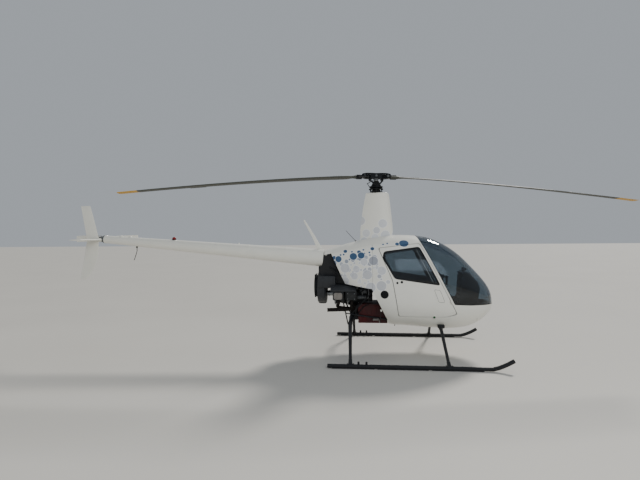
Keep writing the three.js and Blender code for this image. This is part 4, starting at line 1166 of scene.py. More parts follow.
def build_blades():
    for k, name in enumerate(("a", "b")):
        form = bmesh.new()
        add_skin(form, 44, 108, lambda u, v: blade_point(*between(BLADE, (len(BLADE) - 1) * v), u))
        # Tip cover held by screws, and the trim tab
        for r in (3700, 3760):
            for u in (0.18, 0.27):
                add_head(form, 4, 1.2, 0.4, blade_point(r, CHORD, 20.6, 1.8, u), top=3, steps=8)
        inner, outer = blade_point(2560, CHORD, 0, 3.8, 0.5), blade_point(2800, CHORD, 0, 3.4, 0.5)
        tab = bmesh.ops.create_grid(form, x_segments=1, y_segments=1, size=0.5)["verts"]
        for i, v in enumerate(tab):
            v.co = (outer if i % 2 else inner) + Vector(((0, 6, 0), (0, -24, -2))[i // 2])
        bmesh.ops.solidify(form, geom=list(tab[0].link_faces), thickness=1.6)
        # Spindle boot, pitch horn and the bolts of the root
        boot = [(212 + 9 * i, 0, -18) for i in range(10)]
        add_bar(form, boot, [33 + 4 * (i % 2) for i in range(10)], mat=1, sides=36)
        horn = round_corners(((222, -10), (262, -10), (262, 128), (118, 128), (118, 96), (222, 96)), 8, 4)
        add_slab(form, horn, -30, -9, mat=1, plane="xy")
        add_turned(form, rod(12, -34, -6), (126, 112, 0), mat=1, steps=20)
        for u in (0.10, 0.22, 0.78, 0.90):
            for dx in (0, 36, 72, 108):
                spot = blade_point(520, CHORD, 26.4, 8, u) + Vector((dx, 0, 0))
                add_turned(form, ((0, -1), (5, -1), (5, 2.4), (0, 3)), spot, (0, 0, 1 if u < 0.5 else -1), mat=1,
                           steps=6)
        form.transform(HEAD @ Matrix.Rotation(pi * k, 4, "Z"))
        make_piece(f"rotor_blade_{name}", form, "erosion_paint forged_steel", "rotor_head", [f"blade_{name}"],
                   sharp=50)


# Tail
BOOM = dict(front_x=-790, front_z=1378, front_r=132, rear_x=-4280, rear_z=1688, rear_r=60)
TAIL_ROTOR = Vector((-4394, 235, 1700))
FIN_Y = -64
BAY_SEAMS = (-1370, -1950, -2530, -3110, -3690)
RIVET = ((1.9, 0.4), (1.4, 1.6), (0, 2.0))


def boom_at(x):
    """Centre and radius of the boom at a station."""
    t = (x - BOOM["front_x"]) / (BOOM["rear_x"] - BOOM["front_x"])
    return (Vector((x, 0, BOOM["front_z"] + t * (BOOM["rear_z"] - BOOM["front_z"]))),
            BOOM["front_r"] + t * (BOOM["rear_r"] - BOOM["front_r"]))


def build_boom():
    front, rear = BOOM["front_x"], BOOM["rear_x"]
    rings = [(front, -3.0), (front - 3, 0.0)]
    for seam in BAY_SEAMS:
        rings += [(seam + 13, 0.0), (seam + 12, 1.1), (seam - 12, 1.1), (seam - 13, 0.0)]
    rings += [(rear + 42, 0.0), (rear + 41, 1.4), (rear + 2, 1.4), (rear, -2.0)]
    form = bmesh.new()
    add_bar(form, [boom_at(x)[0] for x, _ in rings], [boom_at(x)[1] + lift for x, lift in rings], sides=96)
    for seam in BAY_SEAMS + (rear + 22, front - 22):
        centre, radius = boom_at(seam)
        for away in circle(round(2 * pi * radius / 24), 1, "x"):
            for row in (-6, 6):
                add_turned(form, RIVET, centre + Vector((row, 0, 0)) + away * radius, away, steps=5)
    # A riveted lap runs along the underside
    for x in range(-830, -4260, -26):
        centre, radius = boom_at(x)
        for angle in (radians(-97), radians(-83)):
            away = Vector((0, cos(angle), sin(angle)))
            add_turned(form, RIVET, centre + away * (radius - 0.8), away, steps=5)
    make_piece("boom_skin", form, "polyurethane_enamel", stands_for=["tail_boom"])

    bumps = bmesh.new()
    for x, size in ((-3860, 26), (-4010, 30), (-2100, 12)):
        centre, radius = boom_at(x)
        add_turned(bumps, ((0, -8), (size, -8), (size * 0.94, 6), (size * 0.6, 15), (0, 18)),
                   centre + Vector((0, 0, radius)), steps=28)
    make_piece("boom_top_covers", bumps, "polyurethane_enamel")


# columns: height, leading x, trailing x
FINS = {
    "upper": ((1709.5, -4351, -4552), (1878, -4394, -4583), (2047, -4438, -4614), (2216, -4487, -4644)),
    "lower": ((1649.5, -4351, -4553), (1450, -4367, -4587), (1250, -4421, -4626), (1052, -4560, -4664)),
}
FIN_BAYS = 12


def build_tail_gear():
    end, _ = boom_at(BOOM["rear_x"])
    hub = Vector((TAIL_ROTOR.x, 0, TAIL_ROTOR.z))
    form = bmesh.new()
    add_turned(form, ((0, 0.5), (60, 0.5), (62, 4), (62, 16), (56, 20), (50, 22), (46, 60), (44, 100), (0, 112)),
               end, (-1, 0, 0.02), steps=56)
    add_turned(form, ((0, -56), (38, -56), (50, -50), (52, -10), (48, 20), (50, 44), (50, 58), (38, 62), (30, 100),
                      (26, 160), (24, 172), (0, 172)), hub, (0, 1, 0), steps=56)
    for away in circle(8, 54, "x"):
        add_head(form, 5, 6, 1, end + away - Vector((16, 0, 0)), (-1, 0, 0))
    for across in circle(8, 42, "y"):
        add_head(form, 4.5, 5, 1, hub + across + Vector((0, 58, 0)), (0, 1, 0))
    for z in (1668, 1683, 1698, 1713, 1728):
        add_slab(form, plate(-4450, z, -4340, z + 4, 1.5, 2), -47, 47)
    make_piece("tail_gearbox_casing", form, "cast_aluminium", stands_for=["tail_gearbox"])

    bracket = bmesh.new()
    add_slab(bracket, plate(-4552, 1650, -4310, 1709, 6, 4), FIN_Y - 10, FIN_Y + 10)
    add_bar(bracket, ((-4394, FIN_Y + 5, 1685), (-4394, -50.5, 1685)), 20, sides=28)
    for x in (-4530, -4470, -4350, -4330):
        add_head(bracket, 6, 5, 1, (x, FIN_Y - 10, 1680), (0, -1, 0))
    make_piece("fin_bracket", bracket, "polyurethane_enamel", stands_for=["empennage_bracket"], bevel=1.0)

    for name, rows in FINS.items():
        last = len(rows) - 1

        def skin(u, v):
            z, lead, trail = between(rows, last * v)
            thin = 8 * (1 - 0.75 * max(v - 0.94, 0) / 0.06)
            return foil(u, (lead, FIN_Y, z), (trail, FIN_Y, z), (0, thin, 0))

        form = bmesh.new()
        add_skin(form, 40, 44, skin)
        for k in range(1, FIN_BAYS):
            z = rows[0][0] + (rows[-1][0] - rows[0][0]) * k / FIN_BAYS
            i = next(i for i in range(last) if (rows[i][0] - z) * (rows[i + 1][0] - z) <= 0)
            _, lead, trail = straight(rows, i + (z - rows[i][0]) / (rows[i + 1][0] - rows[i][0]))
            for side in BOTH:
                spot = (lead + (trail - lead) * 0.34, FIN_Y + side * 8.2, z)
                add_turned(form, ((2.4, -1.5), (1.8, 0.8), (0, 1.2)), spot, (0, side, 0), steps=6)
        make_piece(f"fin_skin_{name}", form, "polyurethane_enamel", stands_for=[f"fin_{name}"], sharp=60)

    def plane(u, v):
        y, lead, trail = straight(((-74.5, -4284, -4512), (-560, -4290, -4501), (-580, -4296, -4496)), 2 * v)
        return foil(u, (lead, y, 1679), (trail, y, 1679), (0, 0, 12 if v < 0.96 else 8))

    form = bmesh.new()
    add_skin(form, 44, 30, plane)
    make_piece("stabiliser_skin", form, "polyurethane_enamel", stands_for=["stabiliser"], sharp=60)


# columns: radius, chord, thickness
TAIL_BLADE = ((70.5, 44, 24), (96, 46, 23), (120, 60, 20), (170, 102, 14), (350, 102, 13), (520, 102, 12),
              (533, 98, 9))


def build_tail_rotor():
    park = Matrix.Translation(TAIL_ROTOR) @ Matrix.Rotation(radians(-2), 4, "Y")
    out = (0, 1, 0)
    form = bmesh.new()
    add_turned(form, ((0, -61), (15, -61), (15, 14), (12, 22), (0, 22)), axis=out, steps=36)
    yoke = ((-70, -20), (-30, -28), (30, -28), (70, -20), (70, 20), (30, 28), (-30, 28), (-70, 20))
    add_slab(form, round_corners(yoke, 6, 3), -15, 15)
    add_nut(form, (0, 15, 0), out, radius=13, height=9)
    for side in BOTH:
        add_nut(form, (side * 52, 15, 0), out, radius=8, height=6)
        add_bar(form, ((side * 26, -52, 20), (side * 62, -20, 20)), 5, sides=12)
    add_turned(form, ((15.5, -56), (34, -56), (36, -51), (34, -46), (15.5, -46), (15.5, -56)), axis=out, steps=36)
    form.transform(park)
    make_piece("tail_rotor_yoke", form, "forged_steel", "tail_rotor", ["tail_rotor_hub"], bevel=0.8)

    def section(u, v):
        reach, chord, thickness = straight(TAIL_BLADE, (len(TAIL_BLADE) - 1) * v)
        return foil(u, (reach, 0, chord * 0.35), (reach, 0, chord * -0.65), (0, thickness / 2, 0))

    for k, name in enumerate(("a", "b")):
        blade = bmesh.new()
        add_skin(blade, 36, 60, section)
        blade.transform(park @ Matrix.Rotation(pi * k, 4, "Y"))
        make_piece(f"tail_blade_skin_{name}", blade, "polyurethane_enamel", "tail_rotor", [f"tail_blade_{name}"],
                   sharp=60)


STROBE_X = -3140
WHIP_X = -3753


def build_fittings():
    def top(x):
        centre, radius = boom_at(x)
        return centre.z + radius

    def blade_form(u, v):
        rows = ((top(-848) - 6, -806, -886), (1700, -915, -967), (1930, -1060, -1091), (1955, -1076, -1096))
        z, lead, trail = straight(rows, 3 * v)
        return foil(u, (lead, 0, z), (trail, 0, z), (0, 7 if v < 0.97 else 4, 0))

    aerial = bmesh.new()
    add_skin(aerial, 32, 30, blade_form)
    add_box(aerial, (-905, -20, top(-850) - 12), (-792, 20, top(-850) + 2), 4)
    make_piece("blade_aerial_skin", aerial, "polyurethane_enamel", stands_for=["blade_aerial"], sharp=60)

    lamp_foot = Vector((STROBE_X, 0, top(STROBE_X)))
    base = bmesh.new()
    add_turned(base, ((0, -11), (34, -11), (34, 5), (30, 8), (0, 8)), lamp_foot, steps=40)
    make_piece("strobe_base", base, "black_powder_coat")
    glass = bmesh.new()
    add_turned(glass, ((0, 8), (30, 8), (30, 18), (27, 28), (20, 38), (10, 43), (0, 44)), lamp_foot)
    for away in circle(24, 1, "z"):
        rib = [lamp_foot + away * r + Vector((0, 0, z)) for r, z in ((29.6, 9), (27.4, 26))]
        add_bar(glass, rib, 1.4, sides=6)
    make_piece("strobe_lens", glass, "red_lens", stands_for=["strobe_lamp"])

    whip = bmesh.new()
    centre, radius = boom_at(WHIP_X)
    line = smooth_path(((WHIP_X, 0, centre.z - radius + 2), (WHIP_X, 0, 1500), (WHIP_X - 22, 0, 1428),
                        (WHIP_X - 51, 0, 1348)))
    add_bar(whip, line, 4.2, sides=14)
    add_turned(whip, ((0, 0), (14, 0), (12, 22), (8, 30), (0, 30)), line[0], (0, 0, -1), steps=24)
    for k in range(2, len(line) - 2, 2):
        add_turned(whip, ((0, -5), (6, -4), (7, 0), (6, 4), (0, 5)), line[k], line[k + 1] - line[k], steps=16)
    make_piece("whip_rod", whip, "black_powder_coat", stands_for=["whip_aerial"])
    tip = bmesh.new()
    add_turned(tip, ((0, -8), (6.5, -6), (7.5, 0), (5, 8), (0, 10)), line[-1], line[-1] - line[-2], steps=20)
    make_piece("whip_tip", tip, "polyurethane_enamel")

    roof = bmesh.new()
    foot, tip_at = Vector((-305, 0, hull_height(-305, 0) - 3)), Vector((-455, 0, 1790))
    add_bar(roof, (foot, foot.lerp(tip_at, 0.5), tip_at), [4, 3.4, 3], sides=14)
    add_turned(roof, ((0, -2), (17, -2), (15, 8), (9, 16), (0, 18)), foot, (-0.35, 0, 1), steps=28)
    make_piece("roof_whip_rod", roof, "black_powder_coat", stands_for=["roof_whip"])


# Engine bay
CRANK_Z = 850.0
DRIVE_Z = 1372.0
SHEAVE_R = 106.0
ENGINE = dict(x0=-560, x1=-120, z0=720, z1=1010)
CYLINDERS = (-570, -385)
CYLINDER_STAGGER = 14
MUFFLER_X = -335
EXHAUST_Z = 655.0
FAN_Z = 945
INLET_Z = 960
SCROLL_Z = 935
# The starter, the oil filter and the pump
# columns: x, y, z, radius, length
CANS = ((-150, 172, 905, 44, 96), (-160, 186, 815, 34, 120), (-262, 168, 955, 30, 70))


def add_hose(form, side, points, radius, mat=0, steps=8, sides=16):
    """A hose or pipe through points given for the left side."""
    add_bar(form, smooth_path([(x, side * y, z) for x, y, z in points], steps), radius, mat, sides)


def build_engine():
    case = bmesh.new()
    dark_casting, black, steel, cover, bare = range(5)
    x0, x1 = ENGINE["x0"], ENGINE["x1"]
    for start, end, radius, segments in (
        ((x0 + 1, -128, 742), (x1 - 1, 128, 968), 22, 4),
        ((x0 + 40, -100, ENGINE["z0"] + 1), (x1 - 60, 100, 760), 14, 3),
        ((x1 - 120, -92, 940), (x1 - 12, 92, ENGINE["z1"] - 2), 12, 3),
        ((x0 + 4, -134, CRANK_Z - 7), (x1 - 4, 134, CRANK_Z + 7), 3, 2),
        *(((x, -134, 752), (x + 9, 134, 962), 3, 2) for x in range(x0 + 30, x1 - 20, 52)),
    ):
        add_box(case, start, end, radius, segments=segments)
    for side in BOTH:
        out = Vector((0, side, 0))
        for x in range(x0 + 24, x1, 44):
            add_head(case, 8, 8, 1, (x, side * 126, CRANK_Z + 8))
        add_box(case, (-648, side * 113.5, 782), (x0 + 20, side * 164, 918), 12, segments=3)
        # Accessory housing in front of the crankcase
        add_box(case, (-120, side * 12, 742), (-66, side * 118, 905), 14, segments=3)
        add_turned(case, ((0, 0), (34, 0), (34, 40), (28, 46), (0, 46)), (-110, side * 66, 860), (0, side, 0.2),
                   steps=32)
        # Magneto with its four leads
        add_turned(case, ((0, 0), (36, 0), (40, 12), (40, 70), (32, 84), (0, 86)), (x1 - 100, side * 62, 972),
                   (0.4, side * 0.25, 1), steps=32)
        for k in range(4):
            row, low = k % 2, k // 2
            plug_x = CYLINDERS[row] - side * CYLINDER_STAGGER
            foot = (x1 - 82 - 14 * row, 70 + 16 * low, 1040)
            add_hose(case, side, (foot, (foot[0] - 30, foot[1] + 20, 1046), (plug_x + 84, 190, 900 - 14 * low),
                                  (plug_x + 24, 344, 905 - 80 * low)), 4.5, black, sides=10)
        for x, y, z, radius, long in CANS:
            can = ((0, 0), (radius - 6, 0), (radius, 8), (radius, long - 20), (radius - 4, long - 12),
                   (radius - 4, long), (radius * 0.5, long + 8), (0, long + 8))
            add_turned(case, can, (x, side * y, z), (-1, 0, 0), bare, steps=28)
            for k in range(3):
                add_turned(case, tube(radius, radius + 3, -2, 2), (x - 22 - 22 * k, side * y, z), (-1, 0, 0),
                           k % 2, steps=24)
            add_bar(case, ((x - 30, side * (y - 50), z), (x - 30, side * y, z)), 9, sides=12)
        for k in range(5):
            x = -290 + 46 * k
            add_hose(case, side, ((x, 126, 938), (x + 10, 168, 972), (x + 24, 196, 944), (x + 30, 204, 872),
                                  (x + 18, 192, 794)), 5 + k % 2 * 3, 1 + k % 2, 6, 10)
            add_turned(case, rod(10, -9, 9), (x + 25, side * 198, 930), (0.1, 0, 1), cover, steps=6)
        for base_x in CYLINDERS:
            x = base_x - side * CYLINDER_STAGGER
            barrel = [(0, 118), (60, 118), (60, 150)]
            for k in range(13):
                reach = 154 + k * 9.5
                barrel += [(57, reach), (77, reach + 0.6), (77, reach + 2.4), (57, reach + 3)]
            barrel += [(60, 282), (0, 282)]
            add_turned(case, barrel, (x, 0, CRANK_Z), out, steps=36)
            fin = plate(x - 78, CRANK_Z - 62, x + 78, CRANK_Z + 70, 22, 4)
            for y in range(286, 358, 9):
                add_slab(case, fin, side * y, side * (y + 3.2))
            add_box(case, (x - 62, side * 280, CRANK_Z - 50), (x + 62, side * 362, CRANK_Z + 54), 8)
            for dz in (-34, 40):
                push_rod = (x + 30, side * 130, CRANK_Z + dz * 1.35), (x + 26, side * 352, CRANK_Z + dz * 1.1)
                add_bar(case, push_rod, 8, steel, 14)
            intake = (x - 34, 96, 735), (x - 40, 190, 722), (x - 40, 290, 752), (x - 36, 318, 800)
            add_hose(case, side, intake, 20, steel, 6, 20)
            add_turned(case, ((0, 0), (9, 0), (9, 14), (6, 16), (6, 34), (0, 36)), (x + 20, side * 338, 905),
                       (0, side * 0.25, 1), steel, steps=12)
            # The rear rocker covers show bare metal; the front ones take the dark casting finish as painted shade
            add_slab(case, plate(x - 60, CRANK_Z - 46, x + 60, CRANK_Z + 50, 26, 6), side * 362, side * 384,
                     cover if base_x == CYLINDERS[0] else dark_casting)
            for dx in (-48, 48):
                for dz in (-36, 40):
                    add_head(case, 6, 4, 1, (x + dx, side * 384, CRANK_Z + dz), out, steel)
    make_piece("engine_with_cylinders", case, "oiled_casting neoprene stainless_sheet rocker_cover cast_aluminium",
               stands_for=["engine"], bevel=0.8)

    # Sheets over the cylinders that lead the fan's air down through the fins. Their near-black also fills the bay
    # under the cowl with painted shade.
    hood = ((176, 1004), (300, 986), (352, 934), (352, 915), (346, 915), (346, 931), (297, 979), (176, 997))
    end_wall = ((176, 1000), (298, 982), (348, 932), (348, 917), (176, 917))
    shroud = bmesh.new()
    for outline, start, end in (
        (hood, -668, -300), *((grow(hood, 2), x - 5, x + 5) for x in (-640, -480, -330)),
        (end_wall, -302, -300), (end_wall, -668, -666),
    ):
        for side in BOTH:
            add_slab(shroud, [(side * y, z) for y, z in outline], start, end, plane="yz")
    make_piece("cylinder_shrouds", shroud, "glass_fibre", bevel=0.6)


def build_baffle():
    form = bmesh.new()
    outline = ((-275, 451), (143, 451), (134, 526), (41, 719), (-275, 719))
    add_slab(form, round_corners(outline, 12, 4), -239, 239)
    for x in (-215, -150, -85, -20):
        add_box(form, (x - 4, -244, 462), (x + 4, 244, 712), 3)
    for x, z in ((136, 480), (46, 700)):
        add_box(form, (-272, -243, z - 4), (x, 243, z + 4), 3)
    for side in BOTH:
        for x in range(-260, 10, 32):
            add_turned(form, ((0, -1), (4, -1), (4, 1.5), (0, 2.5)), (x, side * 241, 690), (0, side, 0), steps=8)
    make_piece("lower_cooling_baffle", form, "red_oxide_enamel", stands_for=["lower_baffle"])

    # The carburettor and its air box hang behind the baffle, over the rear cross tube
    box = bmesh.new()
    add_turned(box, ((0, -72), (34, -72), (38, -60), (38, 60), (34, 72), (0, 72)), (-306, 0, 548), (0, 1, 0),
               steps=36)
    for y in range(-220, 240, 44):
        add_box(box, (-345, y - 3, 500), (-279, y + 3, 592), 1, segments=1)
    for side in BOTH:
        add_box(box, (-342, side * 70, 494), (-276, side * 236, 598), 10, segments=3)
        add_hose(box, side, ((-310, 228, 560), (-312, 268, 604), (-300, 272, 680), (-262, 252, 735)), 12)
        add_hose(box, side, ((-285, 228, 530), (-270, 254, 590), (-190, 252, 690), (-120, 250, 722)), 7, sides=12)
    make_piece("carburettor_air_box", box, "neoprene")

    strainer = bmesh.new()
    bowl = ((0, -46), (14, -46), (18, -40), (18, 14), (22, 16), (22, 26), (18, 28), (18, 40), (10, 46), (0, 46))
    add_turned(strainer, bowl, (-20, -263, 508), (1, 0, 0.06), steps=28)
    add_bar(strainer, ((-4, -240, 508), (-4, -252, 508)), 9, sides=12)
    add_bar(strainer, ((26, -263, 506), (26, -263, 462)), 6, sides=12)
    make_piece("fuel_strainer", strainer, "rocker_cover")


def build_exhaust():
    form = bmesh.new()
    centre = (MUFFLER_X, 0, EXHAUST_Z)
    drum = ((0, -255), (34, -255), (46, -248), (48, -240), (48, -90), (49.5, -88), (49.5, -84), (48, -82),
            (48, 76), (49.5, 78), (49.5, 82), (48, 84), (48, 230), (46, 238), (34, 245), (0, 245))
    add_turned(form, drum, centre, (0, 1, 0))
    # Heat shield round the drum
    for y0, y1 in ((-232, -96), (-76, 70), (90, 222)):
        add_turned(form, ((50, y0), (58, y0 + 3), (58, y1 - 3), (50, y1), (50, y0)), centre, (0, 1, 0), steps=36)
    pipe = smooth_path(((MUFFLER_X, -215, EXHAUST_Z), (-420, -292, EXHAUST_Z + 2), (-540, -326, EXHAUST_Z),
                        (-712, -345, EXHAUST_Z - 3)), 12)
    add_bar(form, pipe, 26.5, sides=32)
    mouth = ((27.5, -6), (28.5, -6), (28.5, 1), (23, 1), (23, -40), (0, -40))
    add_turned(form, mouth, pipe[-1], pipe[-1] - pipe[-2], steps=32)
    add_turned(form, tube(27, 31, -9, 9), pipe[18], pipe[19] - pipe[18], steps=32)
    for side in BOTH:
        add_bar(form, ((MUFFLER_X, side * 120, 640), (MUFFLER_X, side * 120, ENGINE["z0"] - 0.5)), 22, sides=24)
        for base_x in CYLINDERS:
            x = base_x - side * CYLINDER_STAGGER
            riser = smooth_path(((x + 10, side * 330, 796), (x + 6, side * 332, 742), (x, side * 300, 690),
                                 (MUFFLER_X, side * 236, EXHAUST_Z)), 10)
            add_bar(form, riser, 21, sides=24)
            add_turned(form, tube(22, 31, -4, 4), riser[3], riser[4] - riser[3], steps=24)
    make_piece("exhaust_muffler", form, "scaled_steel", stands_for=["exhaust"], bevel=0.6)


def grooved(radius, x0, x1, grooves):
    """Profile of a belt sheave with v grooves, along the drive axis."""
    profile = [(0, x0), (radius, x0)]
    pitch = (x1 - x0 - 8) / grooves
    for k in range(grooves):
        start = x0 + 4 + k * pitch
        profile += [(radius, start), (radius - 7, start + pitch * 0.32), (radius - 7, start + pitch * 0.68),
                    (radius, start + pitch)]
    return profile + [(radius, x1), (0, x1)]


# Section of a double belt, as distance along the drive and out from the sheave: two ribs inside, flat outside
BELT = ((0, 12.4), (34, 12.4), (34, 1), (30, 1), (27, 4.5), (21, 4.5), (18, 1), (16, 1), (13, 4.5), (7, 4.5),
        (4, 1), (0, 1))
BELT_STEPS = 32


def belt_point(u, v, x0):
    """A point of a belt that runs over the upper sheave for half its way and under the lower one."""
    along, out = BELT[round(u * len(BELT)) % len(BELT)]
    step = round(v * 2 * (BELT_STEPS + 1)) % (2 * (BELT_STEPS + 1))
    low = step > BELT_STEPS
    angle = pi * (step - low) / BELT_STEPS
    radius = (88.4 if low else SHEAVE_R) + out
    middle = CRANK_Z if low else DRIVE_Z + 10
    return Vector((x0 + along, radius * cos(angle), middle + radius * sin(angle)))


def build_drive():
    lower = bmesh.new()
    for profile, steps in (
        (((0, 560.5), (60, 560.5), (60, 572), (52, 576), (0, 576)), 40),
        (grooved(87.5, 572, 655, 4), 64),
        (((0, 650), (40, 650), (40, 700), (46, 704), (46, 712), (40, 716), (40, 741.5), (0, 741.5)), 40),
    ):
        add_turned(lower, profile, (0, 0, CRANK_Z), (-1, 0, 0), steps=steps)
    make_piece("lower_sheave_grooved", lower, "turned_steel", stands_for=["lower_sheave"])

    upper = bmesh.new()
    start, end = Vector((-97.5, 0, DRIVE_Z + 0.5)), Vector((-1150, 0, DRIVE_Z + 32))
    axis = (end - start).normalized()
    foot = start - axis * 97.5
    add_bar(upper, (start, end), 15.5, sides=32)
    add_turned(upper, grooved(SHEAVE_R - 0.6, 572, 655, 4), foot, axis, steps=72)
    for x, radius in ((180, 30), (215, 34), (540, 42), (690, 46), (730, 32)):
        add_turned(upper, tube(15.6, radius, x - 9, x + 9), foot, axis, steps=32)
    for away in circle(6, 26, "x"):
        add_head(upper, 6, 6, 1, foot + axis * 224 + away, axis)
    make_piece("clutch_and_drive_shaft", upper, "turned_steel", stands_for=["clutch_shaft"])

    belts = bmesh.new()
    for x0 in (-650, -612):
        add_skin(belts, len(BELT), 2 * (BELT_STEPS + 1), lambda u, v: belt_point(u, v, x0), caps=False)
    make_piece("vee_belts", belts, "neoprene", stands_for=["drive_belts"])


def scroll_point(u, v):
    """A point of the fan's housing, which grows round the wheel like a snail's shell."""
    profile = ((62, 742.5), (150, 742.5), (226, 750), (241, 770), (243, 800), (241, 850), (232, 872), (170, 884.5),
               (62, 884.5), (62, 742.5))
    radius, back = profile[round(v * (len(profile) - 1))]
    angle = 2 * pi * u
    grown = radius * (1 - 0.075 * ((u + 0.25) % 1.0)) if radius > 100 else radius
    return Vector((-back, grown * cos(angle), SCROLL_Z + grown * sin(angle)))


def build_scroll():
    form = bmesh.new()
    add_skin(form, 96, 9, scroll_point, caps=False)
    for side in BOTH:
        add_box(form, (-859, side * 126, 951), (-601, side * 244, 1127), 14, segments=3)
        for x in (-780, -700, -630):
            add_box(form, (x - 3, side * 124, 949), (x + 3, side * 247, 1129), 1.5, segments=1)
    bell = (150, 879), (153, 879), (170, 916), (174, 921), (170, 921.5), (164, 917), (146, 884), (150, 879)
    add_turned(form, bell, (0, 0, INLET_Z), (-1, 0, 0), steps=72)
    for away in circle(12, 205, "x"):
        add_head(form, 5, 3, 1, Vector((-884, 0, SCROLL_Z)) + away, (-1, 0, 0), top=4, steps=8)
    make_piece("fan_scroll_housing", form, "glass_fibre", stands_for=["fan_scroll"], sharp=30)

    wheel = bmesh.new()
    add_turned(wheel, ((0, 800), (44, 800), (60, 820), (128, 868), (134, 868), (134, 872), (60, 828), (40, 812),
                       (0, 812)), (0, 0, FAN_Z), (-1, 0, 0), steps=64)
    vane = bmesh.ops.create_grid(wheel, x_segments=1, y_segments=3, size=0.5)["verts"]
    for v in vane:
        reach, back = 74 + (v.co.y + 0.5) * 60, 832 + (v.co.x + 0.5) * 44
        curl = 0.5 * (v.co.y + 0.5) ** 2
        v.co = (-back, reach * cos(curl), FAN_Z + reach * sin(curl))
    bmesh.ops.solidify(wheel, geom=list({face for v in vane for face in v.link_faces}), thickness=2.4)
    vane_faces = [face for face in wheel.faces if face.calc_center_median().x < -815 and len(face.verts) == 4
                  and abs(face.normal.x) < 0.2 and face.calc_area() < 1300]
    add_turned(wheel, ((0, 872), (26, 872), (24, 884), (0, 886)), (0, 0, FAN_Z), (-1, 0, 0), steps=28)
    for k in range(1, 16):
        copy = bmesh.ops.duplicate(wheel, geom=vane_faces)["geom"]
        moved = [g for g in copy if isinstance(g, bmesh.types.BMVert)]
        bmesh.ops.rotate(wheel, verts=moved, cent=(0, 0, FAN_Z), matrix=Matrix.Rotation(pi * k / 8, 3, "X"))
    make_piece("cooling_fan_wheel", wheel, "cast_aluminium")

    # Each half of the plate runs round half of the fan's opening
    rim = [(150 * cos(pi * k / 24), INLET_Z + 150 * sin(pi * k / 24)) for k in range(-12, 13)]
    half = [(0, 1139), (168, 1139), (172, 1135), (172, 820), (168, 816), (0, 816)] + rim
    inlet = bmesh.new()
    for side in BOTH:
        add_slab(inlet, [(side * y, z) for y, z in half], -913, -910, plane="yz")
        for z in (846, 1108):
            add_bar(inlet, ((-912, side * 150, z), (-862, side * 141, z)), 5, sides=10)
    make_piece("fan_inlet_plate", inlet, "black_powder_coat")

    guard = bmesh.new()
    hub = Vector((-912, 0, INLET_Z))
    for radius in (60, 90, 120, 146):
        add_bar(guard, [hub + away for away in circle(64, radius, "x")], 1.6, sides=6, loop=True)
    for away in circle(8, 1, "x"):
        add_bar(guard, (hub + away * 58, hub + away * 160), 1.8, sides=6)
    make_piece("fan_inlet_guard", guard, "turned_steel")


# Joints of one side of the welded frame, and its tubes with their radius
FRAME_JOINTS = {
    "low_front": (150, 262, 512), "low_rear": (-375, 262, 580), "up_front": (-55, 330, 925),
    "mid_rear": (-560, 190, 1150), "top_front": (-62, 215, 1470), "shoulder": (-665, 128, 1432),
    "ring_top": (BOOM["front_x"] + 9.3, 62, BOOM["front_z"] + 60),
    "ring_low": (BOOM["front_x"] + 9.3, 62, BOOM["front_z"] - 60),
    "engine_foot": (-465, 150, ENGINE["z0"] + 30), "gearbox_side": (-62, 130, 1466),
}
FRAME_TUBES = (
    ("low_front", "low_rear", 11), ("up_front", "low_rear", 8), ("low_rear", "engine_foot", 10),
    ("up_front", "mid_rear", 10), ("mid_rear", "ring_low", 11), ("top_front", "shoulder", 11),
    ("shoulder", "ring_top", 11), ("top_front", "mid_rear", 9), ("mid_rear", "shoulder", 9),
    ("top_front", "gearbox_side", 11),
)
# columns: path, radius
HOSES = (
    (((-80, 130, 880), (-140, 166, 900), (-210, 170, 960), (-330, 150, 1060)), 9),
    (((-80, -150, 1030), (-150, -180, 1090), (-300, -170, 1120), (-420, -96, 1040)), 14),
    (((-68, -110, 830), (-150, -186, 800), (-230, -196, 760), (-262, -190, 722)), 8),
    (((-68, -60, 900), (-130, -176, 940), (-230, -230, 900), (-300, -240, 850)), 7),
    (((-68, 60, 900), (-130, 176, 940), (-230, 230, 900), (-300, 240, 850)), 7),
    (((-80, 120, 1180), (-200, 150, 1170), (-330, 110, 1100), (-390, 60, 1005)), 22),
)


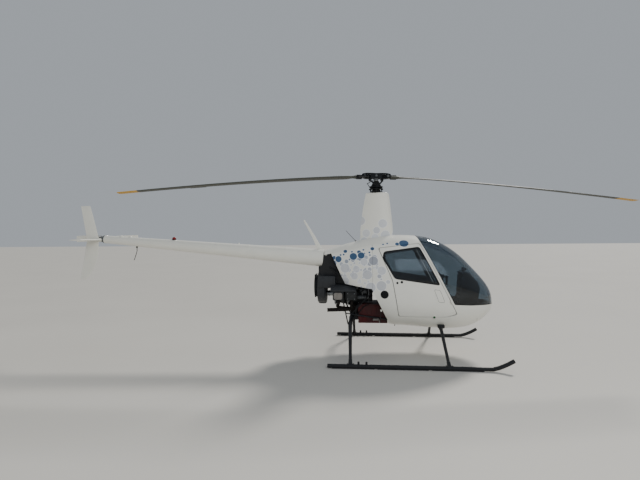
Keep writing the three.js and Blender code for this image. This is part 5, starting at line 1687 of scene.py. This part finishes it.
def build_engine_frame():
    form = bmesh.new()
    saddle_z = REAR_TUBE["z"]
    for side in BOTH:
        joints = {name: Vector((x, side * y, z)) for name, (x, y, z) in FRAME_JOINTS.items()}
        for first, last, radius in FRAME_TUBES:
            start, end = joints[first], joints[last]
            add_bar(form, (start, end), radius, sides=20)
            # Weld beads close each joint
            for spot, other in ((start, end), (end, start)):
                add_turned(form, ((radius + 2.5, 6), (radius + 3, 9), (radius, 15)), spot, other - spot, steps=16)
        for spot in joints.values():
            add_turned(form, ((0, -13), (9, -11), (13, 0), (9, 11), (0, 13)), spot, steps=16)
        foot = side * 225
        add_bar(form, ((-375, foot, 585), (-375, foot, saddle_z + 20)), 12, sides=20)
        saddle = (-375, foot - 34, saddle_z), (-375, foot + 34, saddle_z)
        add_bar(form, saddle, REAR_TUBE["radius"] + 6, sides=28)
    add_bar(form, ((-375, -262, 580), (-375, 262, 580)), 12, sides=20)
    ring_x = BOOM["front_x"] + 0.5
    add_turned(form, tube(74, 96, ring_x, ring_x + 17), (0, 0, BOOM["front_z"]), (1, 0, 0), steps=64)
    make_piece("welded_engine_frame", form, "black_powder_coat", stands_for=["engine_frame"])

    # Black side sheets and a slatted box over the fan: partly bay structure, partly painted shade that fills the
    # dark at the boom's root
    sheets = bmesh.new()
    outline = ((-452, 1140), (-440, 1006), (-600, 1000), (-862, 1129), (-862, 1180), (-800, 1300), (-800, 1400),
               (-672, 1440))
    for side in BOTH:
        add_slab(sheets, round_corners(outline, 12, 3), side * 112, side * 116)
        for x, z in ((-640, 1180), (-720, 1230), (-700, 1330)):
            add_turned(sheets, tube(26, 30, -2, 3), (x, side * 116, z), (0, side, 0), steps=32)
    add_box(sheets, (-858, -104, 1135), (-800, 104, 1262), 8)
    for y in range(-98, 98, 13):
        add_box(sheets, (-861, y, 1142), (-797, y + 5, 1255))
    make_piece("aft_bay_sheets", sheets, "black_powder_coat")

    hoses = bmesh.new()
    for path, radius in HOSES:
        add_bar(hoses, smooth_path(path, 14), radius, sides=18)
    make_piece("engine_hoses", hoses, "neoprene")

    pipe = bmesh.new()
    add_bar(pipe, ((-490, -262, 760), (-421, -262, 434)), 9)
    add_bar(pipe, ((-375, -262, 580), (-455, -262, 596)), 8, sides=14)
    make_piece("breather_pipe", pipe, "black_powder_coat")


# Cabin
FLOOR_Z = 490.0
SEAT_Y = 237.0
PAD_HALF = 205.0
SWELL_FRAMES = 20
SWELL_CAP = 14


def swell(form, cap):
    """Swells a closed pad with a short cloth simulation. No point moves more than the cap, in millimetres."""
    scene = bpy.context.scene
    form.transform(Matrix.Scale(0.001, 4))
    mesh = bpy.data.meshes.new("pad")
    form.to_mesh(mesh)
    form.free()
    pad = bpy.data.objects.new("pad", mesh)
    scene.collection.objects.link(pad)
    skin = pad.modifiers.new("skin", "REMESH")
    skin.mode = "VOXEL"
    skin.voxel_size = 0.007
    pad.data = bpy.data.meshes.new_from_object(pad.evaluated_get(bpy.context.evaluated_depsgraph_get()))
    pad.modifiers.clear()
    starts = [v.co.copy() for v in pad.data.vertices]
    ends = starts
    cloth = pad.modifiers.new("swell", "CLOTH")
    cloth.settings.use_pressure = True
    cloth.settings.uniform_pressure_force = 4
    cloth.settings.effector_weights.gravity = 0
    for number in range(1, SWELL_FRAMES + 1):
        scene.frame_set(number)
    blown = pad.evaluated_get(bpy.context.evaluated_depsgraph_get()).data
    ends = [v.co.copy() for v in blown.vertices]
    pad.modifiers.clear()
    scene.frame_set(1)
    result = bmesh.new()
    result.from_mesh(pad.data)
    for v, start, end in zip(result.verts, starts, ends):
        move = (end - start) * 1000
        v.co = start * 1000 + move.normalized() * min(move.length, cap)
    for mesh in (mesh, pad.data):
        bpy.data.meshes.remove(mesh)
    bmesh.ops.subdivide_edges(result, edges=result.edges, cuts=1, use_grid_fill=True)
    bmesh.ops.smooth_vert(result, verts=result.verts, factor=0.5, use_axis_x=True, use_axis_y=True,
                          use_axis_z=True)
    return result


def build_pad(start, end, thick):
    """A crowned pad of the left seat, with its sewn channels and the piping round its edge."""
    start, end = Vector((start[0], SEAT_Y, start[1])), Vector((end[0], SEAT_Y, end[1]))
    length = (end - start).length
    along = (end - start).normalized()
    lift = along.cross(Vector((0, 1, 0)))
    lift = -lift if lift.z + lift.x < 0 else lift
    form = bmesh.new()
    bmesh.ops.create_cube(form, size=1)
    bmesh.ops.subdivide_edges(form, edges=form.edges, cuts=9, use_grid_fill=True)
    for v in form.verts:
        a, b, c = v.co
        # The edges pull in between the corners, and the corners are rounded
        squeeze = 1 - 0.07 * (1 - (2 * b) ** 2) * (2 * a) ** 4
        narrow = 1 - 0.05 * (1 - (2 * a) ** 2) * (2 * b) ** 4 - 0.05 * (2 * a) ** 6 * (2 * b) ** 6
        crown = 0.42 + 0.46 * (1 - (2 * a) ** 4) * (1 - (2 * b) ** 4)
        v.co = start + along * ((a * squeeze + 0.5) * length) + lift * (c * thick * crown)
        v.co.y = SEAT_Y + b * 2 * PAD_HALF * narrow
    form = swell(form, SWELL_CAP)
    tree = BVHTree.FromBMesh(form)
    middle = start + along * (length / 2) + lift * (thick * 0.16)
    loop = []
    for k in range(120):
        angle = 2 * pi * k / 120
        away = along * cos(angle) + Vector((0, sin(angle), 0))
        loop.append(tree.ray_cast(middle + away * 600, -away)[0])
    form.normal_update()
    for v in form.verts:
        if v.normal.dot(lift) < 0.25:
            continue
        reach = (v.co - start).dot(along) / length - 0.5
        across = v.co.y - SEAT_Y
        channel = sum(exp(-((across - lane) / 7) ** 2) for lane in (-104, -35, 35, 104)) * (abs(reach) < 0.41)
        cross = sum(exp(-((reach * length - lane) / 7) ** 2) for lane in (-length * 0.41, length * 0.41))
        v.co -= lift * 8 * min(channel + cross, 1.0)
    piping = bmesh.new()
    add_bar(piping, loop, 4.2, sides=10, loop=True)
    return form, piping


def build_seats(sizes):
    # columns: piece, start and end of the centre line, thickness
    pads = (("seat", (264, 814), (664, 810), sizes.seat_pad), ("back", (224, 850), (160, 1180), sizes.back_pad))
    for part, start, end, thick in pads:
        pad, piping = build_pad(start, end, thick * 1000)
        for side, name in SIDES:
            for kind, form, cloth in (("cushion", pad, "vinyl_leather"), ("piping", piping, "neoprene")):
                copy = flip_side(form.copy(), side)
                # The outer corners follow the cabin's wall
                for v in copy.verts:
                    v.co.y = copysign(min(abs(v.co.y), hull_side(v.co.x, v.co.z, 38)), v.co.y)
                piece = make_piece(f"seat_{part}_{kind}_{name}", copy, cloth, sharp=80,
                                   stands_for=[f"seat_{name}"] if (part, kind) == ("seat", "cushion") else ())
        pad.free()
        piping.free()
    for side, name in SIDES:
        build_belts(side, name)


def build_belts(side, name):
    belt = bmesh.new()
    # Points of the left seat's belts, and the way their flat side faces
    lap = (300, 60, 830), (340, 110, 868), (400, 200, 866), (400, 280, 866), (340, 372, 868), (300, 420, 830)
    runs = [(lap, (1, 0, 0.2))]
    for lane in (150, 325):
        shoulder = ((128, SEAT_Y + (lane - SEAT_Y) * 0.7, 1212), (172, lane, 1190), (232, lane, 1060),
                    (285, lane - 8, 900), (345, lane - 12, 862), (420, lane - 12, 858))
        runs.append((shoulder, (0, 0, 1)))
    for points, up in runs:
        path = smooth_path([(x, side * y, z) for x, y, z in points])
        add_bar(belt, path, 23, sides=12, flat=0.07, up=up)
    add_box(belt, (372, side * SEAT_Y - 30, 858), (432, side * SEAT_Y + 30, 874), 6, mat=1)
    make_piece(f"seat_belts_{name}", belt, "webbing stainless_sheet")


# columns: side, height along the panel, radius
DIALS = ((-78, 205, 38), (0, 205, 38), (78, 205, 38), (-78, 118, 38), (0, 118, 38), (78, 118, 38), (-84, 46, 27),
         (-28, 46, 27), (28, 46, 27), (84, 46, 27))


def build_console():
    form = bmesh.new()
    outline = ((1150, 490.5), (1390, 490.5), (1432, 800), (1458, 930), (1436, 1012), (1290, 1168), (1228, 1177),
               (1202, 1140), (1182, 900))
    add_slab(form, round_corners(outline, 14, 5), -138, 138)
    make_piece("console_pod", form, "crackle_lacquer", stands_for=["instrument_console"], bevel=6)

    face, marks = bmesh.new(), bmesh.new()
    base = Vector((1182, 0, 900))
    up = (Vector((1202, 0, 1140)) - base).normalized()
    out = Vector((-up.z, 0, up.x))

    def ray(angle):
        return up * sin(angle) + Vector((0, cos(angle), 0))

    for y, rise, radius in DIALS:
        spot = base + up * rise + Vector((0, y, 0)) + out * 0.5
        add_turned(face, ((0, 1), (radius - 6, 1), (radius - 4, 6), (radius, 7), (radius + 1, 2), (radius + 1, -3),
                          (0, -3)), spot, out)
        for k in range(12):
            away = ray(radians(210 - 25 * k)) * radius
            add_bar(marks, (spot + out * 2 + away * 0.62, spot + out * 2 + away * 0.78), 0.9, sides=4)
        needle = ray(0.7 + y * 0.01) * radius
        add_bar(marks, (spot + out * 3 - needle * 0.15, spot + out * 3 + needle * 0.6), 1.1, sides=4)
    for y in range(-100, 101, 40):
        add_turned(face, ((0, -2), (7, -2), (7, 3), (3, 4), (2.4, 15), (3.4, 17), (0, 19)),
                   base + up * -40 + Vector((0, y, 0)), out, steps=20)
    for rise in (-150, -90):
        low = base + up * rise + out * (-rise * 0.05)
        add_box(face, low + Vector((-14, -82, -22)), low + Vector((6, 82, 22)), 3)
    make_piece("console_dials", face, "dial_black")
    make_piece("dial_marks", marks, "dial_paint")

    # The glare hood's blue-grey finish is a painted reflection of the sky on its top
    glare = bmesh.new()
    shade = ((1196, 1166), (1232, 1186), (1296, 1176), (1444, 1016), (1434, 1010), (1288, 1164), (1230, 1172),
             (1202, 1154))
    add_slab(glare, round_corners(shade, 3, 3), -146, 146)
    compass = ((0, -28), (24, -28), (30, -14), (30, 16), (24, 26), (0, 26))
    add_turned(glare, compass, (1262, 0, 1214), (1, 0, 0), steps=36)
    add_bar(glare, ((1262, 0, 1214), (1262, 0, 1174)), 7)
    make_piece("console_hood", glare, "hood_lacquer", bevel=1.5)


GRIP_RADII = (15, 17, 18, 17.5, 17, 17, 16, 15.5, 16, 17, 17.5, 17, 16, 15.6, 16, 16.5, 17, 17, 16.5, 16, 16, 16.5,
              17, 17.5, 17)


def build_controls():
    stick = bmesh.new()
    top = (960, 0, 1105)
    add_bar(stick, ((908, 0, FLOOR_Z + 1), (912, 0, 545), top), [20, 16, 15], sides=28)
    boot = ((0, -2), (46, -2), (44, 14), (24, 60), (17, 66), (0, 66))
    add_turned(stick, boot, (908, 0, FLOOR_Z + 2), steps=36)
    bar = ((955, -340, 1080), (960, -318, 1104), (960, -250, 1112), (960, 0, 1106), (960, 250, 1112),
           (960, 318, 1104), (955, 340, 1080))
    add_bar(stick, smooth_path(bar, 10), 11.5, sides=24)
    add_turned(stick, ((0, -26), (20, -26), (24, -12), (24, 12), (20, 26), (0, 26)), top, (0, 1, 0), steps=36)
    for side in BOTH:
        y = side * 330
        grip = smooth_path(((964, y, 1140), (962, y, 1112), (958, y + side, 1070), (954, y, 1012)))
        add_bar(stick, grip, GRIP_RADII, sides=28)
        add_head(stick, 6, 7, 2, (964, y, 1140), (0.2, 0, 1), 1, 5, 20)
        add_head(stick, 5, 8, 1, (975, y, 1120), (1, 0, 0.1), 0, 4, 16)
    make_piece("cyclic_column", stick, "black_powder_coat red_lens", stands_for=["cyclic_stick"])

    for side, name in SIDES:
        form = bmesh.new()
        y = side * 255
        add_bar(form, ((1215, y - 100, 640), (1215, y + 100, 640)), 8.5, sides=20)
        add_bar(form, ((1195, y, FLOOR_Z + 1), (1213, y, 640)), 12.5, sides=24)
        add_turned(form, ((0, 0), (32, 0), (30, 8), (16, 14), (0, 14)), (1195, y, FLOOR_Z + 1), steps=32)
        for pedal in (y - 75, y + 75):
            add_slab(form, plate(pedal - 30, 600, pedal + 30, 700, 14, 5), 1198, 1203, plane="yz")
            for z in range(612, 696, 12):
                add_bar(form, ((1197, pedal - 22, z), (1197, pedal + 22, z)), 2.4, 1, 8)
        make_piece(f"pedal_pair_{name}", form, "forged_steel neoprene", stands_for=[f"pedals_{name}"])

    for y, name in ((-45, "right"), (330, "left")):
        form = bmesh.new()
        boot = ((0, 0.5), (38, 0.5), (36, 12), (22, 60), (15, 120), (14, 150), (0, 152))
        add_turned(form, boot, (700, y, FLOOR_Z), steps=32)
        add_bar(form, ((690, y, 630), (795, y, 700)), 13, sides=24)
        add_bar(form, ((795, y, 700), (800, y, 703), (880, y, 757), (885, y, 760)), [15, 19, 19, 14], sides=28)
        for k in range(1, 7):
            spot = Vector((800, y, 703)).lerp((880, y, 757), k / 7)
            add_turned(form, ((19, -2), (20.5, 0), (19, 2)), spot, (80, 0, 54), steps=28)
        make_piece(f"collective_lever_{name}", form, "black_powder_coat", stands_for=[f"collective_{name}"])


def build_cabin_lining():
    """The cabin's plain CAD nodes stay and only get a finish."""
    covers = ("firewall", "headliner"), ("cabin_floor", "loop_carpet"), ("seat_base", "interior_enamel")
    for name, cover in covers:
        materials = frame["nodes"][name].data.materials
        materials.clear()
        materials.append(finish(cover))


# Small parts on the hull
def build_hull_fittings():
    for side, name in SIDES:
        lamp = bmesh.new()
        spot = on_hull(764, 592, LEFT)
        away = hull_shade.normal(spot)
        add_turned(lamp, ((0, -5), (24, -5), (24, 2), (20, 5), (0, 5)), spot, away, steps=36)
        add_turned(lamp, ((0, 5), (17, 5), (15, 15), (9, 21), (0, 23)), spot, away, mat=1, steps=36)
        make_piece(f"position_lamp_{name}", flip_side(lamp, side), f"polyurethane_enamel position_lens_{name}")

    intake = bmesh.new()
    spot = on_hull(94, 899, RIGHT)
    away = hull_shade.normal(spot)
    add_turned(intake, ((46, -2), (56, -2), (56, 2), (54, 4), (49, 4), (46, 2), (46, -2)), spot, away, steps=64)
    right = away.cross(Vector((0, 0, 1))).normalized()
    rise = right.cross(away).normalized()
    for shift in (k * 8.2 for k in range(-5, 6)):
        reach = sqrt(46 ** 2 - shift ** 2)
        for a, b in ((right, rise), (rise, right)):
            middle = spot + a * shift + away * 1.5
            add_bar(intake, (middle - b * reach, middle + b * reach), 1.1, 1, 6)
    add_turned(intake, rod(46.5, 0.2, 0.8), spot, away, 2)
    make_piece("air_intake_ring", intake, "black_powder_coat forged_steel neoprene")

    pipes = bmesh.new()
    spot = on_hull(45, 675, RIGHT, -6)
    add_turned(pipes, ((0, -8), (10, -8), (11, 0), (11, 14), (8, 20), (0, 20)), spot, (0.2, 0, -1), steps=32)
    hose = (spot, spot + Vector((-4, -4, -80)), (38, spot.y + 20, 560), (36, spot.y + 34, 494))
    add_bar(pipes, smooth_path(hose), 4, 1, 14)
    drain = Vector((252, -170, hull_height(252, 170, -1) + 4))
    add_bar(pipes, (drain, drain - Vector((6, 0, 26))), 5, 1, 14)
    make_piece("fuel_drains", pipes, "polyurethane_enamel black_powder_coat")

    straps = bmesh.new()
    for side in BOTH:
        add_box(straps, (820, side * 372, 428), (914, side * 436, 470), 8, segments=3)
        for x in (833, 901):
            for y in (side * 386, side * 422):
                add_head(straps, 7, 6, 1, (x, y, 428), (0, 0, -1))
    make_piece("front_tube_clamps", straps, "black_powder_coat")

    belly = bmesh.new()
    for x in range(330, 1320, 70):
        for y in (-150, 150):
            spot = (x, y, hull_height(x, y, -1))
            add_turned(belly, ((3, -0.5), (2.2, 1.0), (0, 1.4)), spot, (0, 0, -1), steps=6)
    cover = ((0, -3), (44, -3), (44, 3), (38, 8), (0, 8))
    add_turned(belly, cover, (1080, 0, hull_height(1080, 0, -1)), (0, 0, -1))
    make_piece("belly_covers", belly, "polyurethane_enamel")


# Stage
LOOKED_AT = Vector((0.4, 0, 1.0))
CAMERA_AT = (0.4095, -6.67, 1.69)
CAMERA_YAW = radians(6)
CAMERA_PITCH = radians(-0.335)
CAMERA_ROLL = 0.008


def build_stage():
    form = bmesh.new()
    bmesh.ops.create_grid(form, x_segments=1, y_segments=1, size=90)
    mesh = bpy.data.meshes.new("floor")
    form.to_mesh(mesh)
    form.free()
    mesh.materials.append(finish("studio_floor"))
    floor = bpy.data.objects.new("floor", mesh)
    bpy.context.scene.collection.objects.link(floor)

    world = bpy.data.worlds.new("studio_air")
    world.use_nodes = True
    air = world.node_tree.nodes["Background"]
    air.inputs["Color"].default_value = linear("#dfe6ee")
    air.inputs["Strength"].default_value = 0.5
    bpy.context.scene.world = world

    key = bpy.data.lights.new("key_light", "SUN")
    key.energy = 3.1
    key.angle = radians(10)
    key.color = (1.0, 0.97, 0.92)
    fill = bpy.data.lights.new("front_fill", "AREA")
    fill.shape = "RECTANGLE"
    fill.size, fill.size_y = 7.0, 4.0
    fill.energy = 460
    fill.color = (0.93, 0.96, 1.0)
    for lamp, place in ((key, (4.6, 8.0, 8.2)), (fill, (3.5, -9.5, 5.0))):
        part = bpy.data.objects.new(lamp.name, lamp)
        part.location = place
        part.visible_glossy = lamp == key
        part.rotation_euler = (LOOKED_AT - Vector(place)).to_track_quat("-Z", "Y").to_euler()
        bpy.context.scene.collection.objects.link(part)


def build_camera():
    data = bpy.data.cameras.new("camera")
    data.lens = 24.975
    data.sensor_width = 36
    data.clip_end = 200
    level = cos(CAMERA_PITCH)
    forward = Vector((-sin(CAMERA_YAW) * level, cos(CAMERA_YAW) * level, sin(CAMERA_PITCH)))
    right = forward.cross(Vector((0, 0, 1))).normalized()
    up = right.cross(forward)
    turned_right = right * cos(CAMERA_ROLL) - up * sin(CAMERA_ROLL)
    turned_up = up * cos(CAMERA_ROLL) + right * sin(CAMERA_ROLL)
    turn = Matrix((turned_right, turned_up, -forward)).transposed().to_4x4()
    camera = bpy.data.objects.new("camera", data)
    camera.matrix_world = Matrix.Translation(CAMERA_AT) @ turn
    bpy.context.scene.collection.objects.link(camera)
    bpy.context.scene.camera = camera


# Sizes and colours that a user would change
def length(name, description, default):
    return FloatProperty(name=name, description=description, default=default, unit="LENGTH", min=0.0)


def colour(name, description, code):
    return FloatVectorProperty(name=name, description=description, default=linear(code)[:3], subtype="COLOR",
                               min=0.0, max=1.0)


class HelicopterSizes(bpy.types.PropertyGroup):
    wall: length("Skin wall", "Thickness of the cabin skins", 0.020)
    acrylic: length("Acrylic", "Thickness of the windshield panes", 0.005)
    door_gap: length("Door gap", "Gap round each door", 0.0075)
    seat_pad: length("Seat pad", "Thickness of the seat cushions", 0.066)
    back_pad: length("Back pad", "Thickness of the back cushions", 0.078)


class HelicopterColours(bpy.types.PropertyGroup):
    enamel: colour("Enamel", "Main paint of the hull, boom and fins", "#ebe9de")
    disc_blue: colour("Blue discs", "Vinyl discs along the roof seam", "#325374")
    disc_grey: colour("Grey discs", "Vinyl discs lower down and on the mast fairing", "#7d818e")
    # The glazing tint is partly painted shade, which darkens the cabin seen through the panes
    glazing: colour("Glazing", "Tint of the acrylic panes", "#8b9aa5")
    tubes: colour("Tubes", "Powder coat of the skids and the frame", "#1d1e21")
    seats: colour("Seats", "Vinyl of the cushions", "#35363b")
    blades: colour("Blades", "Erosion paint of the main rotor", "#4c4e46")
    blade_tips: colour("Blade tips", "Warning band at the end of each blade", "#cd9f3d")


class HELI_OT_stage(bpy.types.Operator):
    """Lays the pale floor and sets the soft lights and the camera"""
    bl_idname = "heli.stage"
    bl_label = "Stage"

    def execute(self, context):
        build_stage()
        build_camera()
        return {"FINISHED"}


class HELI_OT_cabin_skins(bpy.types.Operator):
    """Builds the cabin, roof and cowl skins and the windshields"""
    bl_idname = "heli.cabin_skins"
    bl_label = "Cabin skins"

    def execute(self, context):
        for build in (build_cabin_shell, build_roof, build_cowls, build_windshields):
            build(context.scene.helicopter_sizes)
        return {"FINISHED"}


class HELI_OT_doors(bpy.types.Operator):
    """Builds both doors with their panes and hinges"""
    bl_idname = "heli.doors"
    bl_label = "Doors"

    def execute(self, context):
        for side, name in SIDES:
            build_door(context.scene.helicopter_sizes, side, name)
        build_hinges()
        return {"FINISHED"}


class HELI_OT_landing_gear(bpy.types.Operator):
    """Builds the skids and the cross tubes"""
    bl_idname = "heli.landing_gear"
    bl_label = "Landing gear"

    def execute(self, context):
        build_skids()
        build_cross_tube(FRONT_TUBE, "front_cross_tube_bent", "front_cross_tube")
        build_cross_tube(REAR_TUBE, "rear_cross_tube_bent", "rear_cross_tube")
        return {"FINISHED"}


class HELI_OT_main_rotor(bpy.types.Operator):
    """Builds the mast, the rotor head and the blades"""
    bl_idname = "heli.main_rotor"
    bl_label = "Mast and main rotor"

    def execute(self, context):
        build_mast()
        build_rotor_head()
        build_blades()
        return {"FINISHED"}


class HELI_OT_tail(bpy.types.Operator):
    """Builds the boom, the tail surfaces and the tail rotor"""
    bl_idname = "heli.tail"
    bl_label = "Tail"

    def execute(self, context):
        build_boom()
        build_tail_gear()
        build_tail_rotor()
        return {"FINISHED"}


class HELI_OT_engine_bay(bpy.types.Operator):
    """Builds the engine, its drive, fan, exhaust and frame"""
    bl_idname = "heli.engine_bay"
    bl_label = "Engine bay"

    def execute(self, context):
        for build in (build_engine, build_baffle, build_exhaust, build_drive, build_scroll, build_engine_frame):
            build()
        return {"FINISHED"}


class HELI_OT_cabin(bpy.types.Operator):
    """Builds the seats, the console and the controls"""
    bl_idname = "heli.cabin"
    bl_label = "Cabin"

    def execute(self, context):
        build_cabin_lining()
        build_seats(context.scene.helicopter_sizes)
        build_console()
        build_controls()
        return {"FINISHED"}


class HELI_OT_fittings(bpy.types.Operator):
    """Builds the aerials, lamps, drains and clamps"""
    bl_idname = "heli.fittings"
    bl_label = "Fittings"

    def execute(self, context):
        build_fittings()
        build_hull_fittings()
        return {"FINISHED"}


OPERATORS = (
    HELI_OT_stage, HELI_OT_cabin_skins, HELI_OT_doors, HELI_OT_landing_gear, HELI_OT_main_rotor, HELI_OT_tail,
    HELI_OT_engine_bay, HELI_OT_cabin, HELI_OT_fittings,
)


class HELI_PT_sidebar(bpy.types.Panel):
    """Lists the sizes, the colours and the steps of the helicopter"""
    bl_idname = "HELI_PT_sidebar"
    bl_label = "Helicopter"
    bl_space_type = "VIEW_3D"
    bl_region_type = "UI"
    bl_category = "Helicopter"

    def draw(self, context):
        for group in (context.scene.helicopter_sizes, context.scene.helicopter_colours):
            for name in group.__annotations__:
                self.layout.prop(group, name)
        for operator in OPERATORS:
            self.layout.operator(operator.bl_idname)


CLASSES = (HelicopterSizes, HelicopterColours, *OPERATORS, HELI_PT_sidebar)


def register():
    for item in CLASSES:
        bpy.utils.register_class(item)
    bpy.types.Scene.helicopter_sizes = PointerProperty(type=HelicopterSizes)
    bpy.types.Scene.helicopter_colours = PointerProperty(type=HelicopterColours)


def unregister():
    del bpy.types.Scene.helicopter_sizes
    del bpy.types.Scene.helicopter_colours
    for item in reversed(CLASSES):
        bpy.utils.unregister_class(item)


def main():
    register()
    for operator in OPERATORS:
        group, name = operator.bl_idname.split(".")
        getattr(getattr(bpy.ops, group), name)()


if __name__ == "__main__":
    main()
